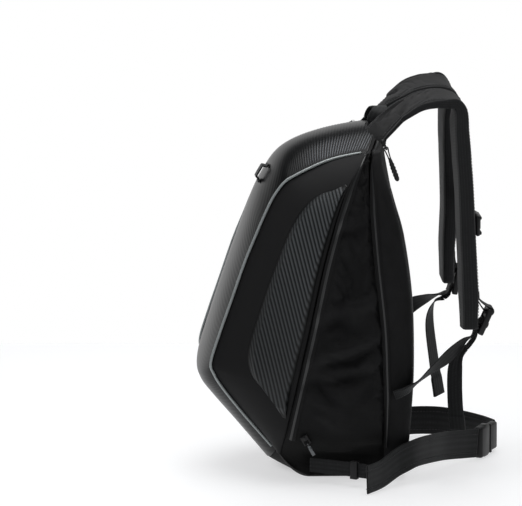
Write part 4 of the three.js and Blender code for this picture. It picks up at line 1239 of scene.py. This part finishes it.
# Grab handle
# A short arch of webbing between the shoulder straps, sewn into the top seam at both ends and leaning back.
HANDLE_ROUTE = (
    (-17, 44, 482), (-16, 46.5, 490), (-13, 51, 496.5), (-5, 56, 500.5),
    (5, 56, 500.5), (13, 51, 496.5), (16, 46.5, 490), (17, 44, 482),
)
HANDLE_WIDE = 18
HANDLE_THICK = 2.4
BACKWARDS = Vector((0, 1, 0))
handle_section = oval_section(HANDLE_WIDE, HANDLE_THICK, WEB_SQUARE)
shape = lay_strip(flat_route(HANDLE_ROUTE), BACKWARDS, steps=60, around=24, section=handle_section)
add_piece("handle_webbing", shape, (nylon_webbing,), ("grab_handle",))

# Shoulder straps
# Padded straps of foam between coated polyester outside and air mesh inside, with bound edges and a row of
# stitches along each. They are sewn into the top seam, are broad over the shoulders and hang behind.
STRAP_STEPS = 260
STRAP_SQUARE = 0.32
# From the top seam down: the place of the strap's middle, its roll, width and thickness.
STRAP = ("x", "y", "z", "roll", "wide", "thick")
STRAP_TOP = (
    (56.5, 40.5, 467, -25, 56, 4),
    (56, 46, 475.5, -18, 58, 4.5),
    (55.5, 55, 484.5, -12, 62, 6),
    (47.5, 71, 498, -6, 75, 7),
    (48, 88, 508.5, -2, 84, 9),
    (50.5, 107, 518, 0, 88, 11),
    (52.5, 128, 521.5, 0, 91, 13),
    (56, 147.5, 518, 0, 88, 15),
    (60, 156.5, 507, 0, 82, 18),
    (68, 158, 478, 0, 74, 20),
    (76, 160, 440, 0, 68, 21.5),
    (84, 162, 400, 0, 65, 21.5),
)
STRAP_ENDS = {
    "right": ((95, 164, 330, 0, 62, 22), (103, 166.5, 262, 0, 60, 23), (108, 167, 211, 0, 50, 21)),
    "left": ((94, 164, 340, 0, 62, 21), (102, 162, 285, 0, 60, 18), (107, 163, 235, 0, 50, 16)),
}
# The foam is a little uneven, and wrinkled where the strap bends: how deep, how close, and where from and to.
UNEVEN_SHARE = 0.07
UNEVEN_ALONG = 22
UNEVEN_ACROSS = 5
UNEVEN_SEED = 0.3
WRINKLE_SHARE = 0.28
WRINKLE_ALONG = 16
WRINKLE_SLANT = 0.03
WRINKLE_ACROSS = 0.07
WRINKLE_SEED = 1.7
WRINKLE_SHARP = 5
BEND_FROM = (0.03, 0.1)
BEND_TO = (0.36, 0.46)
# Creases over the outer face: from one share of the strap's length to another, with the offset from its
# middle.
CREASES = table(("start", "end", "over_start", "over_end"), (
    (0.1, 0.3, 10, -40),
    (0.14, 0.28, -14, -38),
    (0.2, 0.36, 30, 4),
))
CREASE_SHARE = 0.95
CREASE_HALF = 3.6
CREASE_FADE = 0.3
BINDING_WIDE = 4
BINDING_SHARE = 0.86
BINDING_SQUARE = 0.6
BINDING_INSET = 1
BINDING_ROWS = 72
SEAM_INSET = 7
STITCH_LIFT = 0.2
STITCH_PITCH = 4.5
STITCH_LONG = 3
STITCH_WIDE = 0.8
STITCH_TALL = 0.6


def sew(shape, places, outs):
    """Adds a row of stitches along points on a surface, in millimetres, with the surface's directions."""
    left = 0
    for (a, b), out in zip(zip(places, places[1:]), outs):
        span = (b - a).length
        while left < span:
            along = (b - a).normalized()
            over = out.cross(along).normalized()
            turn = Matrix((along, over, along.cross(over))).transposed().to_4x4()
            local = Matrix.Translation(a.lerp(b, left / span) * MM) @ turn
            scaled = Matrix.Diagonal((STITCH_LONG * MM, STITCH_WIDE * MM, STITCH_TALL * MM, 1))
            bmesh.ops.create_cube(shape, size=1, matrix=local @ scaled)
            left += STITCH_PITCH
        left -= span


# Sewing thread: bonded polyester, a shade lighter than the cloth and a little shiny.
tree, end_finish = start_finish("bonded_sewing_thread")
TWIST_MM = 1.5
thread_place = add_node(tree, "ShaderNodeTexCoord")
thread_twist = add_node(tree, "ShaderNodeTexNoise", {
    "Vector": thread_place.outputs["Object"], "Scale": 1 / (TWIST_MM * MM), "Detail": 1.0})
thread_colour = add_node(tree, "ShaderNodeValToRGB", {"Fac": thread_twist.outputs["Fac"]})
thread_colour.color_ramp.elements[0].color = linear("#1d1d1e")
thread_colour.color_ramp.elements[1].color = linear("#3d3d3f")
sewing_thread = end_finish(base_color=thread_colour.outputs["Color"], roughness=0.6, specular_ior_level=0.35)

for name, side in SIDES:
    strap_rows = table(STRAP, STRAP_TOP + STRAP_ENDS[name])
    strap_steps = [dict(row, step=i) for i, row in enumerate(strap_rows)]

    def strap_size(share, column):
        return look_up(strap_steps, "step", share * (len(strap_rows) - 1), column)

    def strap_section(u, v):
        over, out = oval_section(strap_size(u, "wide"), strap_size(u, "thick"), STRAP_SQUARE)(u, v)
        uneven = noise.noise(Vector((u * UNEVEN_ALONG, v * UNEVEN_ACROSS, UNEVEN_SEED + side)))
        bent = ease(u, *BEND_FROM) * (1 - ease(u, *BEND_TO))
        slanted = u * WRINKLE_ALONG + over * WRINKLE_SLANT
        line = noise.noise(Vector((slanted, over * WRINKLE_ACROSS, WRINKLE_SEED + side)))
        near_line = 1 - min(1, WRINKLE_SHARP * abs(line))
        crease = 0
        for row in CREASES:
            share = (u - row["start"]) / (row["end"] - row["start"])
            off = (over - mix(row["over_start"], row["over_end"], share)) / CREASE_HALF
            crease += ease(share, 0, CREASE_FADE) * ease(1 - share, 0, CREASE_FADE) * math.exp(-off * off)
        dent = WRINKLE_SHARE * bent * near_line ** 2 + CREASE_SHARE * min(crease, 1) * (out > 0)
        return over, out * (1 + UNEVEN_SHARE * uneven - dent)

    shape = lay_strip(strap_rows, SIDEWAYS, steps=STRAP_STEPS, around=96, section=strap_section, mirror=side)
    cut_map = shape.loops.layers.uv.active
    girth = max(corner[cut_map].uv.y for face in shape.faces for corner in face.loops)
    part_faces(shape, girth, lambda v: v > 0.5)
    strap = add_piece(
        f"strap_pad_{name}", shape, (polyester_cloth, air_mesh), (f"shoulder_strap_{name}",))

    stitch_shape = bmesh.new()
    for edge in (-1, 1):
        binding_rows = []
        seam_places = []
        seam_outs = []
        for i in range(BINDING_ROWS + 1):
            share = i / BINDING_ROWS
            here, along, wide, up = strip_place(strap_rows, share, SIDEWAYS)
            half = strap_size(share, "wide") / 2
            thick = strap_size(share, "thick")
            roll = strap_size(share, "roll")
            rim = here + wide * edge * (half - BINDING_INSET)
            binding_rows.append({"x": rim.x, "y": rim.y, "z": rim.z, "roll": roll})
            inset = 1 - SEAM_INSET / half
            height = thick / 2 * (1 - inset ** (2 / STRAP_SQUARE)) ** (STRAP_SQUARE / 2)
            seam = here + wide * edge * half * inset + up * (height + STITCH_LIFT)
            seam_places.append(Vector((seam.x * side, seam.y, seam.z)))
            seam_outs.append(Vector((up.x * side, up.y, up.z)))

        def binding_section(u, v):
            return oval_section(BINDING_WIDE, strap_size(u, "thick") * BINDING_SHARE, BINDING_SQUARE)(u, v)

        shape = lay_strip(binding_rows, SIDEWAYS, steps=150, around=12, section=binding_section, mirror=side)
        edge_name = "inner" if edge < 0 else "outer"
        add_piece(f"strap_binding_{edge_name}_{name}", shape, (nylon_webbing,))
        sew(stitch_shape, seam_places, seam_outs)
    add_piece(f"strap_stitches_{name}", stitch_shape, (sewing_thread,))

# Lower webbing
# From each side seam a strip of nylon webbing, folded lengthwise where it is sewn in, runs to the ladder
# buckle at the end of the strap, and its free end hangs down behind it with a folded hem.
STRIP_WIDE = 25
STRIP_THICK = 1.8
FOLD_END = (0.03, 0.1)
HEM_FROM = (0.86, 0.88)
HEM_LAYERS = 2.2
ROUTE = ("x", "y", "z", "roll")
LOWER_ROUTES = {
    "right": table(ROUTE, (
        (144.4, 60, 126, 90),
        (145.5, 76, 132.5, 50),
        (141, 91, 142, 20),
        (134, 112, 158, 32),
        (124, 136, 174, 52),
        (114, 158, 191, 36),
        (109, 171.5, 199.5, 8),
    )),
    "left": table(ROUTE, (
        (-143.6, 62, 140, 90),
        (-142, 84, 156, 90),
        (-137, 112, 187, 75),
        (-124, 138, 204, 40),
        (-114, 155, 211.5, 10),
        (-109, 163, 214.5, 0),
    )),
}
TAIL_ROUTES = {
    "right": table(ROUTE, (
        (107, 164.5, 183, 0),
        (105, 154, 171, 18),
        (104, 148.5, 150, 44),
        (103, 149, 105, 48),
        (103, 153, 66, 50),
    )),
    "left": table(ROUTE, (
        (-107, 158, 206, 0),
        (-106, 145, 200, -14),
        (-105, 139, 174, -32),
        (-105, 145, 120, -36),
        (-105, 153, 68, -40),
    )),
}
# The middle of each ladder buckle and its tilt in degrees.
LADDER_PLACES = {"right": ((109, 188, 221), 66), "left": ((-109, 176, 232), 80)}
# Behind the buckle's lower bars, out over the locking bar, in again above the lowest bar and down to the free
# end: by height on the buckle (y) and depth behind it (z), then by place.
THREADED = table(("y", "z"), (
    (-14.5, 7.8),
    (-9, 7.4),
    (-4, 5.6),
    (0.2, 3.8),
    (1.4, -0.5),
    (0.4, -4.2),
    (-4, -5.2),
    (-8.2, -3.6),
    (-9.4, 0.6),
    (-11.5, 4.2),
    (-15.5, 5.4),
))
RETURN_ROUTES = {
    "right": ((109, 176.6, 204), (108.4, 174.4, 197), (107.8, 169.5, 189.5), (107.2, 165, 183.6)),
    "left": ((-109, 166.6, 213), (-108.4, 164, 210), (-107.8, 161, 207.8), (-107.2, 158.4, 206.2)),
}


def ladder_frame(name):
    """The local frame of a ladder buckle in metres: Y up the buckle, Z towards the pad."""
    place, tilt = LADDER_PLACES[name]
    return Matrix.Translation(Vector(place) * MM) @ Matrix.Rotation(math.radians(tilt), 4, "X")


strip_section = oval_section(STRIP_WIDE, STRIP_THICK, WEB_SQUARE)


def lower_section(u, v):
    """Half as wide and twice as thick where it is sewn in."""
    over, out = strip_section(u, v)
    folded = 1 - ease(u, *FOLD_END)
    return over * (1 - folded / 2), out * (1 + folded)


def hemmed_section(u, v):
    over, out = strip_section(u, v)
    return over, out * mix(1, HEM_LAYERS, ease(u, *HEM_FROM))


for name in LADDER_PLACES:
    lower_rows = LOWER_ROUTES[name] + in_frame(ladder_frame(name), THREADED) + flat_route(RETURN_ROUTES[name])
    shape = lay_strip(lower_rows, SIDEWAYS, steps=260, around=24, section=lower_section)
    add_piece(f"lower_strip_{name}", shape, (nylon_webbing,), (f"lower_webbing_{name}",))
    shape = lay_strip(TAIL_ROUTES[name], SIDEWAYS, steps=140, around=24, section=hemmed_section)
    add_piece(f"tail_strip_{name}", shape, (nylon_webbing,), (f"webbing_tail_{name}",))

# Ladder buckles
# Acetal ladder locks at the ends of the straps: two rails and four bars, with the webbing through the gaps.
# A tab of webbing, sewn to the pad, goes round the top bar.
TAB_STARTS = {
    "right": ((106.5, 179.2, 262), (107.2, 180.2, 252), (108.2, 185.5, 246)),
    "left": ((-104, 172.6, 276), (-105.2, 173, 266), (-107.5, 174.6, 258)),
}
TAB_LOOP = table(("y", "z"), (
    (20.4, 3.4),
    (20.6, -2.4),
    (16.6, -5.4),
    (12, -4.2),
    (10.9, 0),
    (12.4, 4.8),
))
TAB_ENDS = {
    "right": ((108, 184, 240), (107.2, 180.6, 246)),
    "left": ((-108, 173, 250), (-106.5, 172.6, 257)),
}
TAB_WIDE = 24
TAB_THICK = 1.6
LADDER_BARS = table(BAR, (
    ((4.4, 38, 8), (-14.8, 0, 0), 1.8),
    ((4.4, 38, 8), (14.8, 0, 0), 1.8),
    ((31, 6, 7), (0, 16, 0), 1.6),
    ((31, 5.6, 5), (0, 6, 0), 1.6),
    ((31, 5.6, 5), (0, -4, 0), 1.6),
    ((31, 8, 6), (0, -15, 0), 1.6),
))
tab_section = oval_section(TAB_WIDE, TAB_THICK, WEB_SQUARE)
for name in LADDER_PLACES:
    local = ladder_frame(name)
    tab_rows = flat_route(TAB_STARTS[name]) + in_frame(local, TAB_LOOP) + flat_route(TAB_ENDS[name])
    shape = lay_strip(tab_rows, SIDEWAYS, steps=100, around=20, section=tab_section)
    add_piece(f"buckle_tab_{name}", shape, (nylon_webbing,))
    shape = bmesh.new()
    add_bars(shape, local, LADDER_BARS)
    add_piece(f"ladder_lock_{name}", shape, (acetal,), (f"strap_buckle_{name}",))

# Chest strap
# A slider on each shoulder strap carries half of the narrow chest webbing, and a side-release buckle joins
# the halves in the middle. All its hard pieces are acetal.
CHEST_Y = 179.5
CHEST_Z = 354
CHEST_FROM = 19
CHEST_TO = 74
CHEST_DROOP = 1
CHEST_WIDE = 20
SLIDER_X = 95
CHEST_SLIDER_BARS = table(BAR, (
    ((40, 29, 6), (0, 0, 1.4), 2.6),
    ((36, 5, 8.4), (0, -10.5, 0), 2),
    ((36, 5, 8.4), (0, 10.5, 0), 2),
    ((2.2, 13, 7.6), (-6, 0, 0), 0.8),
    ((2.2, 13, 7.6), (0, 0, 0), 0.8),
    ((2.2, 13, 7.6), (6, 0, 0), 0.8),
))
CHEST_CLIP_BARS = table(BAR, (
    ((21, 26, 9), (-7.4, 0, 0), 3),
    ((13, 22, 7.4), (10.6, 0, 0), 2.4),
    ((9, 3.4, 6), (-2, -11.2, 0), 1.4),
    ((9, 3.4, 6), (-2, 11.2, 0), 1.4),
))
UPWARDS = Vector((0, 0, 1))
STAND_UP = Matrix.Rotation(math.pi / 2, 4, "X")
chest_section = oval_section(CHEST_WIDE, STRIP_THICK, WEB_SQUARE)
for name, side in SIDES:
    chest_rows = flat_route((
        (side * CHEST_FROM, CHEST_Y, CHEST_Z),
        (side * (CHEST_FROM + CHEST_TO) / 2, CHEST_Y, CHEST_Z - CHEST_DROOP),
        (side * CHEST_TO, CHEST_Y, CHEST_Z),
    ))
    shape = lay_strip(chest_rows, UPWARDS, steps=50, around=24, section=chest_section)
    add_piece(f"chest_strip_{name}", shape, (nylon_webbing,), (f"sternum_strap_{name}",))
    place = Vector((side * SLIDER_X, CHEST_Y, CHEST_Z))
    shape = bmesh.new()
    add_bars(shape, Matrix.Translation(place * MM) @ STAND_UP, CHEST_SLIDER_BARS)
    add_piece(f"chest_slider_{name}", shape, (acetal,), (f"sternum_slider_{name}",))

shape = bmesh.new()
add_bars(shape, Matrix.Translation(Vector((0, CHEST_Y, CHEST_Z)) * MM) @ STAND_UP, CHEST_CLIP_BARS)
add_piece("chest_clip", shape, (acetal,), ("sternum_buckle",))

# Hip belt
# A wide belt of heavy webbing in two halves, as it lies on the floor. Its edges are turned and sewn.
BELT_TALL = 40
BELT_THICK = 3
BELT_SQUARE = 0.3
BELT_HEM = (BELT_TALL / 2 - 5.5, BELT_TALL / 2 - 4.5)
BELT_MIDDLE = 0.8
BELT_SEAM = BELT_TALL / 2 - 7
BELT_SEAM_ROWS = 80
BELT_STITCH_LIFT = 0.15
BELT_ROUTES = {
    "right": (
        (200, 16, 21), (172, 40, 23), (149, 64, 33), (132, 90, 41),
        (100, 114, 39), (58, 142, 33), (26, 172, 27), (9, 192, 24),
    ),
    "left": (
        (-132, 62, 23), (-139, 88, 22), (-146, 112, 22), (-148, 138, 22), (-140, 162, 22),
        (-115, 188, 22), (-84, 210, 22), (-62, 221, 22), (-48, 224, 23),
    ),
}


def belt_section(u, v):
    """Thinner between its turned edges."""
    over, out = oval_section(BELT_TALL, BELT_THICK, BELT_SQUARE)(u, v)
    return over, out * mix(BELT_MIDDLE, 1, ease(abs(over), *BELT_HEM))


for name, route in BELT_ROUTES.items():
    belt_rows = flat_route(route)
    shape = lay_strip(belt_rows, UPWARDS, steps=240, around=48, section=belt_section)
    add_piece(f"belt_strip_{name}", shape, (nylon_webbing,), (f"hip_belt_{name}",))
    stations = [strip_place(belt_rows, i / BELT_SEAM_ROWS, UPWARDS) for i in range(BELT_SEAM_ROWS + 1)]
    height = BELT_THICK * BELT_MIDDLE / 2 + BELT_STITCH_LIFT
    stitch_shape = bmesh.new()
    for edge in (-1, 1):
        for face_side in (-1, 1):
            outs = [up * face_side for here, along, wide, up in stations]
            seam_places = [
                here + wide * edge * BELT_SEAM + out * height
                for (here, along, wide, up), out in zip(stations, outs)]
            sew(stitch_shape, seam_places, outs)
    add_piece(f"belt_stitches_{name}", stitch_shape, (sewing_thread,))

# Belt anchors
# Narrow webbing from the pack's lower front corners to the belt, each with an acetal loop that keeps its
# end flat.
ANCHOR_ROUTES = {
    "right": (
        (122, -54, 26), (131, -34, 25.5), (142, -14, 25), (153, 4, 24.5), (164, 22, 24), (171.5, 34, 23.5),
    ),
    "left": (
        (-122, -54, 26), (-130, -30, 25), (-134, -5, 25), (-134, 20, 26), (-133, 40, 27), (-132.2, 59.5, 25),
    ),
}
ANCHOR_WIDE = 20
KEEPER_STOP = 0.6
KEEPER_BARS = table(BAR, (
    ((25.2, 2, 10.5), (0, -3, 0), 0.8),
    ((2, 7.6, 10.5), (-11.6, 0, 0), 0.8),
    ((25.2, 2, 10.5), (0, 3, 0), 0.8),
    ((2, 7.6, 10.5), (11.6, 0, 0), 0.8),
))
anchor_section = oval_section(ANCHOR_WIDE, STRIP_THICK, WEB_SQUARE)
for name, route in ANCHOR_ROUTES.items():
    anchor_rows = flat_route(route)
    shape = lay_strip(anchor_rows, UPWARDS, steps=120, around=24, section=anchor_section)
    add_piece(f"anchor_strip_{name}", shape, (nylon_webbing,), (f"belt_anchor_{name}",))
    here, along, wide, up = strip_place(anchor_rows, KEEPER_STOP, UPWARDS)
    turn = Matrix((wide, up, wide.cross(up))).transposed().to_4x4()
    shape = bmesh.new()
    add_bars(shape, Matrix.Translation(here * MM) @ turn, KEEPER_BARS)
    add_piece(f"anchor_keeper_{name}", shape, (acetal,), (f"belt_triglide_{name}",))

# Hip buckle
# A large side-release buckle in acetal that joins the belt's halves: a socket with a press tab on each edge,
# a raised collar at its mouth, and the tongue that clips into it.
BUCKLE_TALL = 44
BUCKLE_THICK = 13
BUCKLE_GAP = 5
belt_ends = [Vector(BELT_ROUTES[name][-1]) for name in ("right", "left")]
belt_along = belt_ends[1] - belt_ends[0]
half = (belt_along.length - BUCKLE_GAP) / 2
HIP_BARS = table(BAR, (
    ((half + 1, BUCKLE_TALL, BUCKLE_THICK), (-half / 2 + 0.5, 0, 0), 4),
    ((5, BUCKLE_TALL - 3, BUCKLE_THICK + 1), (4.5, 0, 0), 1.8),
    ((half - 7, BUCKLE_TALL - 6, BUCKLE_THICK - 2), (half / 2 + 3.5, 0, 0), 3),
    ((14, 4, BUCKLE_THICK - 3), (-9, 1.4 - BUCKLE_TALL / 2, 0), 1.6),
    ((14, 4, BUCKLE_THICK - 3), (-9, BUCKLE_TALL / 2 - 1.4, 0), 1.6),
))
along_belt = Matrix.Rotation(math.atan2(belt_along.y, belt_along.x), 4, "Z")
between_ends = Matrix.Translation(belt_ends[0].lerp(belt_ends[1], 0.5) * MM)
shape = bmesh.new()
add_bars(shape, between_ends @ along_belt @ STAND_UP, HIP_BARS)
add_piece("hip_clip", shape, (acetal,), ("belt_buckle",))
